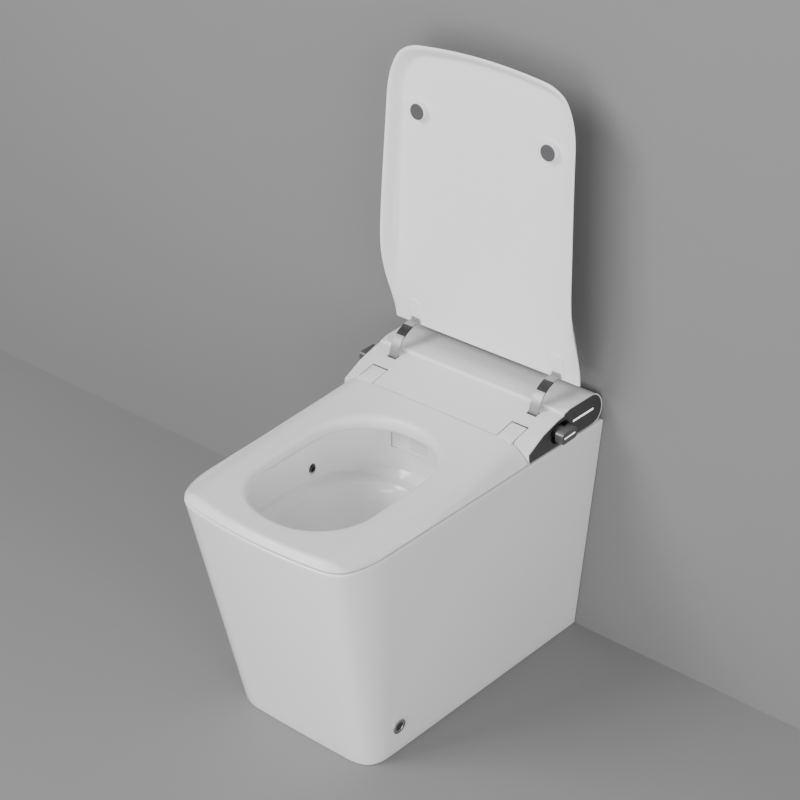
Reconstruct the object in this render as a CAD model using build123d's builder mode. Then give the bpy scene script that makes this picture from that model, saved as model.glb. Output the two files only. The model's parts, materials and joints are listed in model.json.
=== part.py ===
from build123d import *
import math
import os

# One-piece smart toilet: ceramic pan with its electric bidet seat, heated ring and lid.
#
# Frame: +Z up, the front of the pan towards -Y, the wall at +Y.  The origin is on the
# floor under the centre of the pan.  Everything is in millimetres.

os.makedirs("parts", exist_ok=True)

# ---------------------------------------------------------------- driving dimensions

# Ceramic pan
PAN_LENGTH = 608.0  # front of the rim to the wall
RIM_Z = 418.0  # seat-side face of the ceramic
WALL_Y = PAN_LENGTH / 2
NOSE_Y = -PAN_LENGTH / 2
REAR_HALF = 195.0  # half width of the rim at the wall
SIDE_FLARE = 0.0344  # the sides open out towards the wall by this much per mm
PAN_WALL = 12.0
PAN_DECK = 23.0
FOOT_NOSE_Y = -207.5  # front of the pan at the floor
FOOT_REAR_HALF = 162.0
BOWL_HALF = 113.0
BOWL_FRONT_Y = -262.0
BOWL_REAR_Y = 88.0
BOWL_CORNER = 96.0
LEDGE_Z = 352.0  # foot of the bowl's upright wall
TRAP_R = 26.0  # waste passage
TRAP_WALL = 9.0
OUTLET_Z = 8.0  # the waste horn stops this far above the floor

BAY_HALF = 166.0  # open bay in the deck, under the housing
BAY_FRONT_Y = 128.0
BAY_REAR_Y = 287.0
NOTCH_HALF = 56.0  # notch in the bowl's back wall for the nozzle unit
NOTCH_Z = 373.5
NOTCH_FRONT_Y = 77.0
JET_R = 6.0
JET_Y = -44.0
JET_Z = 369.0
SENSOR_AT = (147.8, -147.0, 58.0)
SENSOR_BARREL_R = 9.0
SENSOR_RING_R = 13.0

# Seat ring
SEAT_UNDER_Z = 420.5
SEAT_BASE_T = 3.0
SEAT_REAR_Y = 114.7
HOLE_HALF = 106.0
HOLE_FRONT_Y = -251.0
HOLE_REAR_Y = 58.0
HOLE_CORNER = 98.0
SEAT_HINGE_Y = 146.0
SEAT_HINGE_Z = 447.0
TAB_INNER_X = 125.5
TAB_OUTER_X = 155.5
TAB_REAR_Y = 153.5
SEAT_PIN_R = 3.0

# Housing over the back of the pan
HOUSING_FRONT_Y = 116.5
STEP_Y = 206.0
STEP_LOW_Z = 465.0
HOUSING_TOP_Z = 471.0
HOUSING_FOOT_Z = 418.3
SKIN = 3.0
REAR_ROUND_R = 26.0
SIDE_INSET = 2.2  # the housing stands in from the edge of the ceramic
SIDE_LEAN = 0.10  # and leans in by this much per mm of height
PANEL_T = 3.0
PANEL_EDGE = 1.8  # white edge left showing round each side panel

# Lid
LID_HINGE_Y = 235.8
LID_HINGE_Z = 454.8
LID_BOTTOM_Z = 497.0
LID_TOP_Z = 996.0
LID_LIP = 3.0
LID_INSET = 0.8  # the lid's outline stands in from the rim's
LID_KNEE_Y = 106.0  # the lid narrows from here to its foot
LID_FOOT_HALF = 184.4
STRAP_R = 49.8
STRAP_T = 3.0
STRAP_INNER_X = 132.5
STRAP_OUTER_X = 149.8
STRAP_MID_X = (STRAP_INNER_X + STRAP_OUTER_X) / 2
STRAP_WIDTH = STRAP_OUTER_X - STRAP_INNER_X
LID_PIN_R = 4.0
BUMPER_X = 123.0
BUMPER_FACE_Y = 221.0
BUMPER_Z = 879.6
BUMPER_R = 13.0

# Knobs
KNOB_Y = 196.0
KNOB_Z = 441.5
KNOB_END_X = 205.0
KNOB_SHAFT_R = 3.0
CUP = (50.0, 34.0, 15.0)  # length, height and corner radius of the knob's recess

# Nozzle unit
WAND_TILT = 12.0  # degrees down towards the front
WAND_AT = (0, 84.0, 396.0)
WAND_R = 7.0
WAND_LENGTH = 178.0
WAND_TRAVEL = 118.0
GEAR_MODULE = 1.25
PINION_TEETH = 14
RACK_PITCH_V = 10.1  # pitch line of the rack above the wand's axis
PINION_S = 54.0  # the pinion stands this far back along the wand

# Services in the bay
GLAND_AT = (0.0, 264.0)
GLAND_R = 8.0
INLET_AT = (91.0, 238.0)
INLET_THREAD_R = 10.48  # G1/2 outside radius
FAN_AT = (90.0, 225.0)
FAN_R = 27.5

# Fasteners
SCREW_R = 2.0
CHASSIS_SCREWS = ((-174, 135), (174, 135), (-174, 268), (174, 268))

# Clearances
RUNNING = 0.05  # radial, a shaft in its hole
GAP = 0.4


def rim_half(y):
    """Half width of the ceramic at the rim, at y."""
    return REAR_HALF + SIDE_FLARE * (y - WALL_Y)


def outline(
    nose_y, nose_half, nose_drop, corner, side_y, side_half, rear_y, rear_half, knee=None,
):
    """Add a closed pan outline: bowed front, soft corners, straight sides, flat back.

    The sides run through the knee, a half width and a Y, where there is one.
    """
    nose = (nose_half, nose_y + nose_drop)
    side = (side_half, side_y)
    bend = knee or (rear_half, rear_y)
    flare = (bend[0] - side_half) / (bend[1] - side_y)
    bow = 2 * nose_drop / nose_half
    for s in (1, -1):
        Spline(
            (s * nose[0], nose[1]),
            (s * corner[0], corner[1]),
            (s * side[0], side[1]),
            tangents=((s, bow), (s * flare, 1)),
        )
        Line((s * side[0], side[1]), (s * bend[0], bend[1]))
        if knee:
            Line((s * knee[0], knee[1]), (s * rear_half, rear_y))
    ThreePointArc((-nose[0], nose[1]), (0, nose_y), nose)
    Line((-rear_half, rear_y), (rear_half, rear_y))


def rim_outline(inset, rear_y=WALL_Y):
    """The rim's outline, moved in by inset, cut off at rear_y."""
    outline(
        NOSE_Y + inset, 120 - inset, 8.5, (160.5 - 0.75 * inset, -274 + 0.75 * inset),
        -205, rim_half(-205) - inset, rear_y, rim_half(rear_y) - inset,
    )


def rounded_quad(front_y, front_half, rear_y, rear_half, radius):
    """Add a face with straight sides and rounded corners, wider at the back."""
    Polygon(
        (-front_half, front_y), (front_half, front_y),
        (rear_half, rear_y), (-rear_half, rear_y), align=None,
    )
    fillet(vertices(), radius)


def bowl_section(grow, shrink=0.0, shift=0.0):
    """Add a bowl section, grown for the outside of the ware or shrunk further down."""
    length = BOWL_REAR_Y - BOWL_FRONT_Y + 2 * (grow - shrink * 1.25)
    width = 2 * (BOWL_HALF + grow - shrink)
    middle = (BOWL_REAR_Y + BOWL_FRONT_Y) / 2 + shift
    radius = min(BOWL_CORNER + grow - 0.6 * shrink, width / 2 - 2)
    with Locations((0, middle)):
        RectangleRounded(width, length, radius)


BOWL_LEVELS = (  # height, how far in, how far back
    (LEDGE_Z, 0.0, 0.0),
    (LEDGE_Z - 14, 20.0, 0.0),
    (280.0, 46.0, 10.0),
    (220.0, 72.0, 22.0),
    (190.0, 84.0, 30.0),
)
TRAP_PATH = ((-52, 214), (12, 150), (96, 262), (150, 118), (0, 88), (0, OUTLET_Z))

sensor_plane = Plane(origin=SENSOR_AT, z_dir=(1, -0.045, -0.08))
jet_plane = Plane(origin=(-BOWL_HALF, JET_Y, JET_Z), z_dir=(-1, 0, 0))


def finish(builder, name):
    """Label a finished piece and write its STEP file."""
    builder.part.label = name
    export_step(builder.part, f"parts/{name}.step")


# ---------------------------------------------------------------- ceramic pan

with BuildPart() as ceramic_pan:
    with BuildSketch(Plane.XY):
        with BuildLine():
            outline(FOOT_NOSE_Y, 92, 0.9, (131.5, -193.5), -150, 142.5, WALL_Y, FOOT_REAR_HALF)
        make_face()
    with BuildSketch(Plane.XY.offset(RIM_Z)):
        with BuildLine():
            rim_outline(0)
        make_face()
    loft(ruled=True)
    # the ware is hollow underneath, with a thick deck under the seat
    with BuildSketch(Plane.XY):
        rounded_quad(-192, 127, WALL_Y - PAN_WALL, 148, 30)
    with BuildSketch(Plane.XY.offset(RIM_Z - PAN_DECK)):
        rounded_quad(-286, 160, WALL_Y - PAN_WALL, 180, 32)
    loft(ruled=True, mode=Mode.SUBTRACT)
    # bowl, outside first
    with BuildSketch(Plane.XY.offset(RIM_Z)):
        bowl_section(PAN_WALL)
    extrude(amount=-(RIM_Z - LEDGE_Z))
    for z, shrink, shift in BOWL_LEVELS:
        with BuildSketch(Plane.XY.offset(z - (PAN_WALL if z < LEDGE_Z else 0))):
            bowl_section(PAN_WALL, shrink, shift)
    loft(ruled=True)
    # S-trap from the foot of the bowl to the floor outlet
    with BuildLine(Plane.YZ) as trap_line:
        FilletPolyline(*TRAP_PATH, radius=40)
    with BuildSketch(Plane(origin=trap_line.line @ 0, z_dir=trap_line.line % 0)):
        Circle(TRAP_R + TRAP_WALL)
    sweep(path=trap_line.line)
    with BuildSketch(Plane.XY.offset(RIM_Z)):
        bowl_section(0)
    extrude(amount=-(RIM_Z - LEDGE_Z), mode=Mode.SUBTRACT)
    for z, shrink, shift in BOWL_LEVELS:
        with BuildSketch(Plane.XY.offset(z)):
            bowl_section(0, shrink, shift)
    loft(ruled=True, mode=Mode.SUBTRACT)
    with BuildSketch(Plane(origin=trap_line.line @ 0, z_dir=trap_line.line % 0)):
        Circle(TRAP_R)
    sweep(path=trap_line.line, mode=Mode.SUBTRACT)
    # open bay under the housing, and the notch that the nozzle unit hangs in
    with Locations((0, (BAY_FRONT_Y + BAY_REAR_Y) / 2, RIM_Z)):
        Box(2 * BAY_HALF, BAY_REAR_Y - BAY_FRONT_Y, 2 * PAN_DECK + 2, mode=Mode.SUBTRACT)
    with Locations((0, NOTCH_FRONT_Y, NOTCH_Z)):
        Box(
            2 * NOTCH_HALF, BAY_FRONT_Y - NOTCH_FRONT_Y + 2, RIM_Z - NOTCH_Z + 5,
            align=(Align.CENTER, Align.MIN, Align.MIN), mode=Mode.SUBTRACT,
        )
    # fixing holes for the chassis
    with Locations(*[(x, y, RIM_Z) for x, y in CHASSIS_SCREWS]):
        Hole(SCREW_R + RUNNING, depth=14)
    # foot sensor seat in the right side, and the rinse jet's hole in the bowl's left wall
    with Locations(sensor_plane):
        Cylinder(SENSOR_BARREL_R + 0.2, 60, mode=Mode.SUBTRACT)
    with Locations(jet_plane):
        Cylinder(JET_R + 0.1, 30, mode=Mode.SUBTRACT)
finish(ceramic_pan, "ceramic_pan")

with BuildPart() as outlet_seal:
    Cylinder(52, OUTLET_Z, align=(Align.CENTER, Align.CENTER, Align.MIN))
    Cylinder(TRAP_R + 2, 3 * OUTLET_Z, mode=Mode.SUBTRACT)
finish(outlet_seal, "outlet_seal")

with BuildPart() as sensor_ring:
    with Locations(sensor_plane.offset(1.6)):
        Cylinder(SENSOR_RING_R, 2.4)
        Cylinder(SENSOR_BARREL_R - 1.5, 6, mode=Mode.SUBTRACT)
    fillet(sensor_ring.edges().filter_by(GeomType.CIRCLE).sort_by(Axis.X)[-1], 0.8)
finish(sensor_ring, "foot_sensor_ring")

with BuildPart() as sensor_lens:
    with Locations(sensor_plane):
        Cylinder(SENSOR_BARREL_R - 1.7, 26, align=(Align.CENTER, Align.CENTER, Align.MAX))
    with Locations(sensor_plane.offset(1.9)):
        Cylinder(SENSOR_BARREL_R - 1.7, 2, align=(Align.CENTER, Align.CENTER, Align.MAX))
finish(sensor_lens, "foot_sensor_lens")

with BuildPart() as rinse_jet:
    with Locations(jet_plane.offset(-1)):
        Cylinder(JET_R, 24, align=(Align.CENTER, Align.CENTER, Align.MIN))
        Cylinder(JET_R - 2, 60, mode=Mode.SUBTRACT)
finish(rinse_jet, "rinse_jet")

# ---------------------------------------------------------------- housing


def below(points, normal):
    """A large slab whose face passes through a point; what is above it is cut away."""
    plane = Plane(origin=points, z_dir=normal)
    slab = Box(
        900, 900, 200, align=(Align.CENTER, Align.CENTER, Align.MIN), mode=Mode.PRIVATE,
    )
    return plane * slab


def housing_profile(inset):
    """Add the housing's side profile: sloping deck, step, flat top and round back."""
    front = HOUSING_FRONT_Y + inset
    centre_z = HOUSING_TOP_Z - REAR_ROUND_R
    foot = centre_z - REAR_ROUND_R + inset
    back = WALL_Y - REAR_ROUND_R - 0.2
    radius = REAR_ROUND_R - inset
    Polyline(
        (back, foot), (front, foot), (front, 449.7 - inset), (193, 463.5 - inset),
        (STEP_Y + inset, STEP_LOW_Z - inset), (STEP_Y + 0.8 + inset, HOUSING_TOP_Z - inset),
        (back, HOUSING_TOP_Z - inset),
    )
    ThreePointArc(
        (back, HOUSING_TOP_Z - inset), (back + radius, centre_z), (back, foot),
    )


def housing_block(inset, side_inset):
    """A solid block of the housing's outer form, shrunk by inset all over."""
    with BuildPart() as block:
        with BuildSketch(Plane.YZ):
            with BuildLine():
                housing_profile(inset)
            make_face()
        extrude(amount=210, both=True)
        for s in (1, -1):
            # the deck falls away towards its front corners
            add(
                below((s * 184, 155, 454 - inset), (s * 0.41, -0.47, 1)),
                mode=Mode.SUBTRACT,
            )
            add(
                below((s * 184, 155, 454 - inset), (s * 0.25, -0.256, 1)),
                mode=Mode.SUBTRACT,
            )
            add(side_cut(s, side_inset), mode=Mode.SUBTRACT)
    return block.part


def side_cut(side, side_inset):
    """What lies outside the housing's leaning side, moved in by side_inset."""
    at = (side * (REAR_HALF - SIDE_INSET - side_inset), WALL_Y, RIM_Z)
    return below(at, (side, -SIDE_FLARE, SIDE_LEAN))


outer_block = housing_block(0, 0)
skin_block = housing_block(SKIN, -30)
rebate_block = housing_block(PANEL_EDGE, -30)
panel_block = housing_block(PANEL_EDGE + 0.15, 0)

with BuildPart() as housing_shell:
    add(outer_block)
    add(skin_block, mode=Mode.SUBTRACT)
    # open underneath, between the front wall and the round back
    with Locations((0, 200, RIM_Z)):
        Box(420, 2 * (200 - HOUSING_FRONT_Y - SKIN), 12, mode=Mode.SUBTRACT)
    for s in (1, -1):
        add(rebate_block & side_cut(s, PANEL_T + 0.1), mode=Mode.SUBTRACT)
        tab_mid = s * (TAB_INNER_X + TAB_OUTER_X) / 2
        with Locations((tab_mid, (HOUSING_FRONT_Y - 5 + 157.5) / 2, 436)):
            Box(
                TAB_OUTER_X - TAB_INNER_X + 3, 157.5 - HOUSING_FRONT_Y + 5, 30,
                align=(Align.CENTER, Align.CENTER, Align.MIN), mode=Mode.SUBTRACT,
            )
        with Locations((s * 140.9, 186.6, 462)):
            Box(19.6, 12.2, 16, mode=Mode.SUBTRACT)
finish(housing_shell, "housing_shell")

# black panels that close the housing's ends, with their light lines and knob recesses
SIDES = {"right": 1, "left": -1}
LIGHT_Y = (229.0, 281.0)
LIGHT_Z = 445.5


def side_face(side, y, z, depth=0.0):
    """Plane on the housing's leaning side, looking out, set in by depth."""
    x = REAR_HALF - SIDE_INSET + SIDE_FLARE * (y - WALL_Y) - SIDE_LEAN * (z - RIM_Z)
    normal = Vector(side, -SIDE_FLARE, SIDE_LEAN).normalized()
    origin = Vector(side * x, y, z) - normal * depth
    return Plane(origin=origin, x_dir=(side * SIDE_FLARE, 1, 0), z_dir=normal)


for side_name, s in SIDES.items():
    with BuildPart() as side_panel:
        add(panel_block)
        add(side_cut(s, PANEL_T), mode=Mode.INTERSECT)
        with Locations(side_face(s, (LIGHT_Y[0] + LIGHT_Y[1]) / 2, LIGHT_Z)):
            Box(LIGHT_Y[1] - LIGHT_Y[0] + 0.4, 3.4, 12, mode=Mode.SUBTRACT)
        with BuildSketch(Plane.YZ.offset(s * 230)):
            with Locations((KNOB_Y, KNOB_Z)):
                RectangleRounded(CUP[0] + 0.3, CUP[1] + 0.3, CUP[2])
        extrude(amount=-s * 60, mode=Mode.SUBTRACT)
    finish(side_panel, f"side_panel_{side_name}")

    # the knob's cup sits in the panel; the knob turns and pushes in it
    with BuildPart() as knob_cup:
        for grow, face, depth, mode in (
            (0, 200, 29, Mode.ADD), (-1.6, 200, 26.5, Mode.SUBTRACT),
        ):
            with BuildSketch(Plane.YZ.offset(s * face)):
                with Locations((KNOB_Y, KNOB_Z)):
                    RectangleRounded(CUP[0] + 2 * grow, CUP[1] + 2 * grow, CUP[2] + grow)
            extrude(amount=-s * depth, mode=mode)
        with Locations((s * 168, KNOB_Y, KNOB_Z)):
            Cylinder(KNOB_SHAFT_R + 0.2, 20, rotation=(0, 90, 0), mode=Mode.SUBTRACT)
        add(side_cut(s, 0), mode=Mode.SUBTRACT)
    finish(knob_cup, f"knob_cup_{side_name}")

    with BuildPart() as knob_shaft:
        with Locations((s * 172, KNOB_Y, KNOB_Z)):
            Cylinder(KNOB_SHAFT_R, 30, rotation=(0, 90, 0))
    finish(knob_shaft, f"knob_shaft_{side_name}")

    with BuildPart() as knob:
        with Locations((s * 184.5, KNOB_Y, KNOB_Z)):
            Cylinder(11, 15, rotation=(0, 90, 0))
        with BuildSketch(Plane.YZ.offset(s * KNOB_END_X)):
            with Locations((KNOB_Y, KNOB_Z)):
                RectangleRounded(39, 20, 6)
        extrude(amount=-s * 14)
        with Locations((s * 172, KNOB_Y, KNOB_Z)):
            Cylinder(KNOB_SHAFT_R, 30, rotation=(0, 90, 0), mode=Mode.SUBTRACT)
        with Locations((s * KNOB_END_X, KNOB_Y, KNOB_Z)):
            Box(3, 28, 2.6, mode=Mode.SUBTRACT)
    finish(knob, f"knob_{side_name}")

    with BuildPart() as knob_line:
        with Locations((s * (KNOB_END_X - 0.75), KNOB_Y, KNOB_Z)):
            Box(1.5, 28, 2.6)
    finish(knob_line, f"knob_line_{side_name}")

    with BuildPart() as knob_switch:
        with Locations((s * 161.5, KNOB_Y, KNOB_Z)):
            Box(17, 26, 26)
        with Locations((s * 160, KNOB_Y, KNOB_Z)):
            Cylinder(KNOB_SHAFT_R + 0.2, 40, rotation=(0, 90, 0), mode=Mode.SUBTRACT)
    finish(knob_switch, f"knob_switch_{side_name}")

with BuildPart() as light_lines:
    for s in (1, -1):
        with Locations(side_face(s, (LIGHT_Y[0] + LIGHT_Y[1]) / 2, LIGHT_Z, PANEL_T / 2)):
            Box(LIGHT_Y[1] - LIGHT_Y[0], 3.0, PANEL_T)
finish(light_lines, "light_lines")

# ---------------------------------------------------------------- chassis in the housing

STRAP_BAY = (127.0, 156.0)

with BuildPart() as chassis:
    with BuildSketch(Plane.XY.offset(RIM_Z)):
        rounded_quad(121, 179, 279, 184, 6)
    extrude(amount=SKIN)
    with Locations((0, 181, RIM_Z)):
        Box(116, 124, 20, mode=Mode.SUBTRACT)
    with Locations((GLAND_AT[0], GLAND_AT[1], RIM_Z)):
        Cylinder(GLAND_R + 0.2, 20, mode=Mode.SUBTRACT)
    with Locations((-91, 210, RIM_Z), (91, 210, RIM_Z)):
        Box(60, 130, 20, mode=Mode.SUBTRACT)
    with Locations((76, 140, RIM_Z)):
        Box(50, 42, 20, mode=Mode.SUBTRACT)
    bay_mid = (STRAP_BAY[0] + STRAP_BAY[1]) / 2
    with Locations((-bay_mid, 230, RIM_Z), (bay_mid, 230, RIM_Z)):
        Box(STRAP_BAY[1] - STRAP_BAY[0], 92, 20, mode=Mode.SUBTRACT)
    with Locations(*[(x, y, RIM_Z + SKIN) for x, y in CHASSIS_SCREWS]):
        Hole(SCREW_R + 0.3)
finish(chassis, "chassis")

with BuildPart() as chassis_screws:
    for x, y in CHASSIS_SCREWS:
        with Locations((x, y, RIM_Z + SKIN)):
            Cylinder(SCREW_R, 15, align=(Align.CENTER, Align.CENTER, Align.MAX))
            Cylinder(4, 2.4, align=(Align.CENTER, Align.CENTER, Align.MIN))
finish(chassis_screws, "chassis_screws")

# ---------------------------------------------------------------- seat ring


def ring_hole(grow):
    """Add the seat's opening, grown all round."""
    with Locations((0, (HOLE_FRONT_Y + HOLE_REAR_Y) / 2)):
        RectangleRounded(
            2 * (HOLE_HALF + grow), HOLE_REAR_Y - HOLE_FRONT_Y + 2 * grow,
            HOLE_CORNER + grow, mode=Mode.SUBTRACT,
        )


with BuildPart() as seat_base:
    with BuildSketch(Plane.XY.offset(SEAT_UNDER_Z)):
        with BuildLine():
            rim_outline(1.5, SEAT_REAR_Y)
        make_face()
        ring_hole(4)
    extrude(amount=SEAT_BASE_T)
finish(seat_base, "seat_base")

SEAT_TOP = ((NOSE_Y - 10, 430), (-296, 431.5), (-190, 435.5), (0, 441), (60, 444.5), (SEAT_REAR_Y, 449.3))

with BuildPart() as seat_top:
    with BuildSketch(Plane.XY.offset(SEAT_UNDER_Z + SEAT_BASE_T)):
        with BuildLine():
            rim_outline(6.5, SEAT_REAR_Y)
        make_face()
        ring_hole(0)
    extrude(amount=40)
    with BuildSketch(Plane.YZ):
        with BuildLine():
            Spline(*SEAT_TOP[1:])
            Polyline(SEAT_TOP[-1], (SEAT_REAR_Y + 1, 490), (NOSE_Y - 10, 490), SEAT_TOP[0], SEAT_TOP[1])
        make_face()
    extrude(amount=210, both=True, mode=Mode.SUBTRACT)
    for s in (1, -1):
        add(below((s * 157, SEAT_REAR_Y, 446.5), (s * 0.45, -0.06, 1)), mode=Mode.SUBTRACT)
        # hinge tab with its knuckle
        with BuildSketch(Plane.YZ.offset(s * (TAB_INNER_X + TAB_OUTER_X) / 2)):
            with BuildLine():
                Polyline(
                    (SEAT_REAR_Y - 4, 440), (SEAT_REAR_Y - 4, 448.8), (SEAT_REAR_Y, 449.3),
                    (TAB_REAR_Y, 455.6), (TAB_REAR_Y, 449), (SEAT_REAR_Y + 8, 445), close=True,
                )
            make_face()
            with Locations((SEAT_HINGE_Y, SEAT_HINGE_Z)):
                Circle(7)
        extrude(amount=(TAB_OUTER_X - TAB_INNER_X) / 2, both=True)
        with Locations((s * 140, SEAT_HINGE_Y, SEAT_HINGE_Z)):
            Cylinder(SEAT_PIN_R, 60, rotation=(0, 90, 0), mode=Mode.SUBTRACT)
    # channel for the heating foil
    with BuildSketch(Plane.XY.offset(SEAT_UNDER_Z + SEAT_BASE_T)):
        with BuildLine():
            rim_outline(22, 92)
        make_face()
        ring_hole(14)
    extrude(amount=3, mode=Mode.SUBTRACT)
finish(seat_top, "seat_top")

with BuildPart() as seat_heater:
    with BuildSketch(Plane.XY.offset(SEAT_UNDER_Z + SEAT_BASE_T + 2)):
        with BuildLine():
            rim_outline(23, 91)
        make_face()
        ring_hole(15)
    extrude(amount=0.8)
finish(seat_heater, "seat_heater")

with BuildPart() as seat_buffers:
    with Locations((-140, -190, RIM_Z), (140, -190, RIM_Z), (-150, 40, RIM_Z), (150, 40, RIM_Z)):
        Cylinder(8, SEAT_UNDER_Z - RIM_Z, align=(Align.CENTER, Align.CENTER, Align.MIN))
finish(seat_buffers, "seat_buffers")

for side_name, s in SIDES.items():
    # the ring's hinge pin turns in two ears that stand on the chassis
    with BuildPart() as seat_bracket:
        for x in (TAB_INNER_X - 4.0, TAB_OUTER_X + 4.0):
            with BuildSketch(Plane.YZ.offset(s * x)):
                with Locations((SEAT_HINGE_Y, SEAT_HINGE_Z)):
                    Circle(4.4)
                with Locations((SEAT_HINGE_Y, RIM_Z + SKIN)):
                    Rectangle(12, SEAT_HINGE_Z - RIM_Z - SKIN, align=(Align.CENTER, Align.MIN))
            extrude(amount=1.5, both=True)
        with Locations((s * 140.5, SEAT_HINGE_Y, RIM_Z + SKIN)):
            Box(41, 12, 2, align=(Align.CENTER, Align.CENTER, Align.MIN))
        with Locations((s * 140, SEAT_HINGE_Y, SEAT_HINGE_Z)):
            Cylinder(SEAT_PIN_R + RUNNING, 60, rotation=(0, 90, 0), mode=Mode.SUBTRACT)
    finish(seat_bracket, f"seat_bracket_{side_name}")

    with BuildPart() as seat_pin:
        with Locations((s * 134, SEAT_HINGE_Y, SEAT_HINGE_Z)):
            Cylinder(SEAT_PIN_R, 56, rotation=(0, 90, 0))
    finish(seat_pin, f"seat_pin_{side_name}")

    with BuildPart() as seat_damper:
        with Locations((s * 111, SEAT_HINGE_Y, SEAT_HINGE_Z)):
            Cylinder(4.4, 14, rotation=(0, 90, 0))
            Cylinder(SEAT_PIN_R + RUNNING, 40, rotation=(0, 90, 0), mode=Mode.SUBTRACT)
        with Locations((s * 111, SEAT_HINGE_Y, RIM_Z + SKIN)):
            Box(14, 10, 20, align=(Align.CENTER, Align.CENTER, Align.MIN))
    finish(seat_damper, f"seat_damper_{side_name}")

# ---------------------------------------------------------------- lid


def lid_place(rim_y):
    """Height on the open lid of a point that closes over rim_y."""
    return LID_HINGE_Z + LID_HINGE_Y - rim_y


def lid_outline(inset, bottom_z):
    """The lid's outline as seen from the front, following the rim when it is shut."""
    outline(
        -(LID_TOP_Z - inset), 116 - inset, 7.5,
        (159 - 0.75 * inset, -(lid_place(-274) - 0.75 * inset)),
        -lid_place(-205), rim_half(-205) - LID_INSET - inset,
        -bottom_z, LID_FOOT_HALF - inset,
        (rim_half(LID_KNEE_Y) - LID_INSET - inset, -lid_place(LID_KNEE_Y)),
    )


LIP_EDGE = ((247, 497), (243.4, 519), (235, 546), (224.5, 575.5), (214.8, 608), (210, 631), (207.4, 659))
LIP_TOP = (217.0, 997.0)
INNER_FACE = ((248.5, 496), (245, 516), (240.5, 545), (235.5, 576), (232, 630), (231, 700), (231.5, 880), (235, 1000))
LID_BACK = ((255, 497), (253.5, 560), (249, 700), (245, 880), (241, 997))


def front_xz(y):
    """Plane at y whose local x is X and whose local y is -Z, so outlines drop into place."""
    return Plane(origin=(0, y, 0), x_dir=(1, 0, 0), z_dir=(0, 1, 0))


def lid_block(inset, bottom_z, face, back):
    """A block with the lid's outline between two side curves."""
    with BuildPart() as block:
        with BuildSketch(front_xz(150)):
            with BuildLine():
                lid_outline(inset, bottom_z)
            make_face()
        extrude(amount=150)
        with BuildSketch(Plane.YZ):
            with BuildLine():
                Spline(*face)
                Line(face[-1], back[-1])
                Spline(*back)
                Line(back[0], face[0])
            make_face()
        extrude(amount=210, both=True, mode=Mode.INTERSECT)
    return block.part


lid_body = lid_block(0, LID_BOTTOM_Z, LIP_EDGE, LID_BACK)
lid_tray = lid_block(LID_LIP, LID_BOTTOM_Z - 20, ((180, 480), (180, 700), (180, 1010)), INNER_FACE)

with BuildPart() as strap_pads:
    # two low pads over the ends of the hinge straps, following the inner face
    add(
        lid_block(
            20, LID_BOTTOM_Z - 20,
            [(y - 2, z) for y, z in INNER_FACE], [(y + 2, z) for y, z in INNER_FACE],
        )
    )
    with BuildSketch(front_xz(220)):
        with Locations((-STRAP_MID_X, -523), (STRAP_MID_X, -523)):
            RectangleRounded(27, 42, 8)
    extrude(amount=60, mode=Mode.INTERSECT)

with BuildPart() as lid_shell:
    add(lid_body)
    add(lid_tray, mode=Mode.SUBTRACT)
    add(strap_pads.part)
    for s in (1, -1):
        with Locations((s * BUMPER_X, 232.5, BUMPER_Z)):
            Cylinder(
                BUMPER_R + 1.5, 232.5 - BUMPER_FACE_Y - 1.5, rotation=(90, 0, 0),
                align=(Align.CENTER, Align.CENTER, Align.MIN),
            )
        with Locations((s * BUMPER_X, BUMPER_FACE_Y, BUMPER_Z)):
            Cylinder(3.5, 14, rotation=(90, 0, 0), mode=Mode.SUBTRACT)
        with Locations((s * STRAP_MID_X, 245.6, 512)):
            Box(STRAP_WIDTH + 0.4, 3.4, 60, mode=Mode.SUBTRACT)
finish(lid_shell, "lid_shell")

with BuildPart() as lid_bumpers:
    for s in (1, -1):
        with Locations((s * BUMPER_X, BUMPER_FACE_Y, BUMPER_Z)):
            Cylinder(
                BUMPER_R, 1.5, rotation=(90, 0, 0),
                align=(Align.CENTER, Align.CENTER, Align.MAX),
            )
            Cylinder(
                3.4, 6, rotation=(90, 0, 0),
                align=(Align.CENTER, Align.CENTER, Align.MAX),
            )
finish(lid_bumpers, "lid_bumpers")


def round_the_hinge(radius, degrees):
    """Point in the YZ plane at an angle round the lid's hinge axis, from +Y towards +Z."""
    a = math.radians(degrees)
    return (LID_HINGE_Y + radius * math.cos(a), LID_HINGE_Z + radius * math.sin(a))


STRAP_TOP_DEG = 79.0  # the strap passes under the lid here
STRAP_FOOT_DEG = 175.0  # and ends inside the housing here

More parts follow.
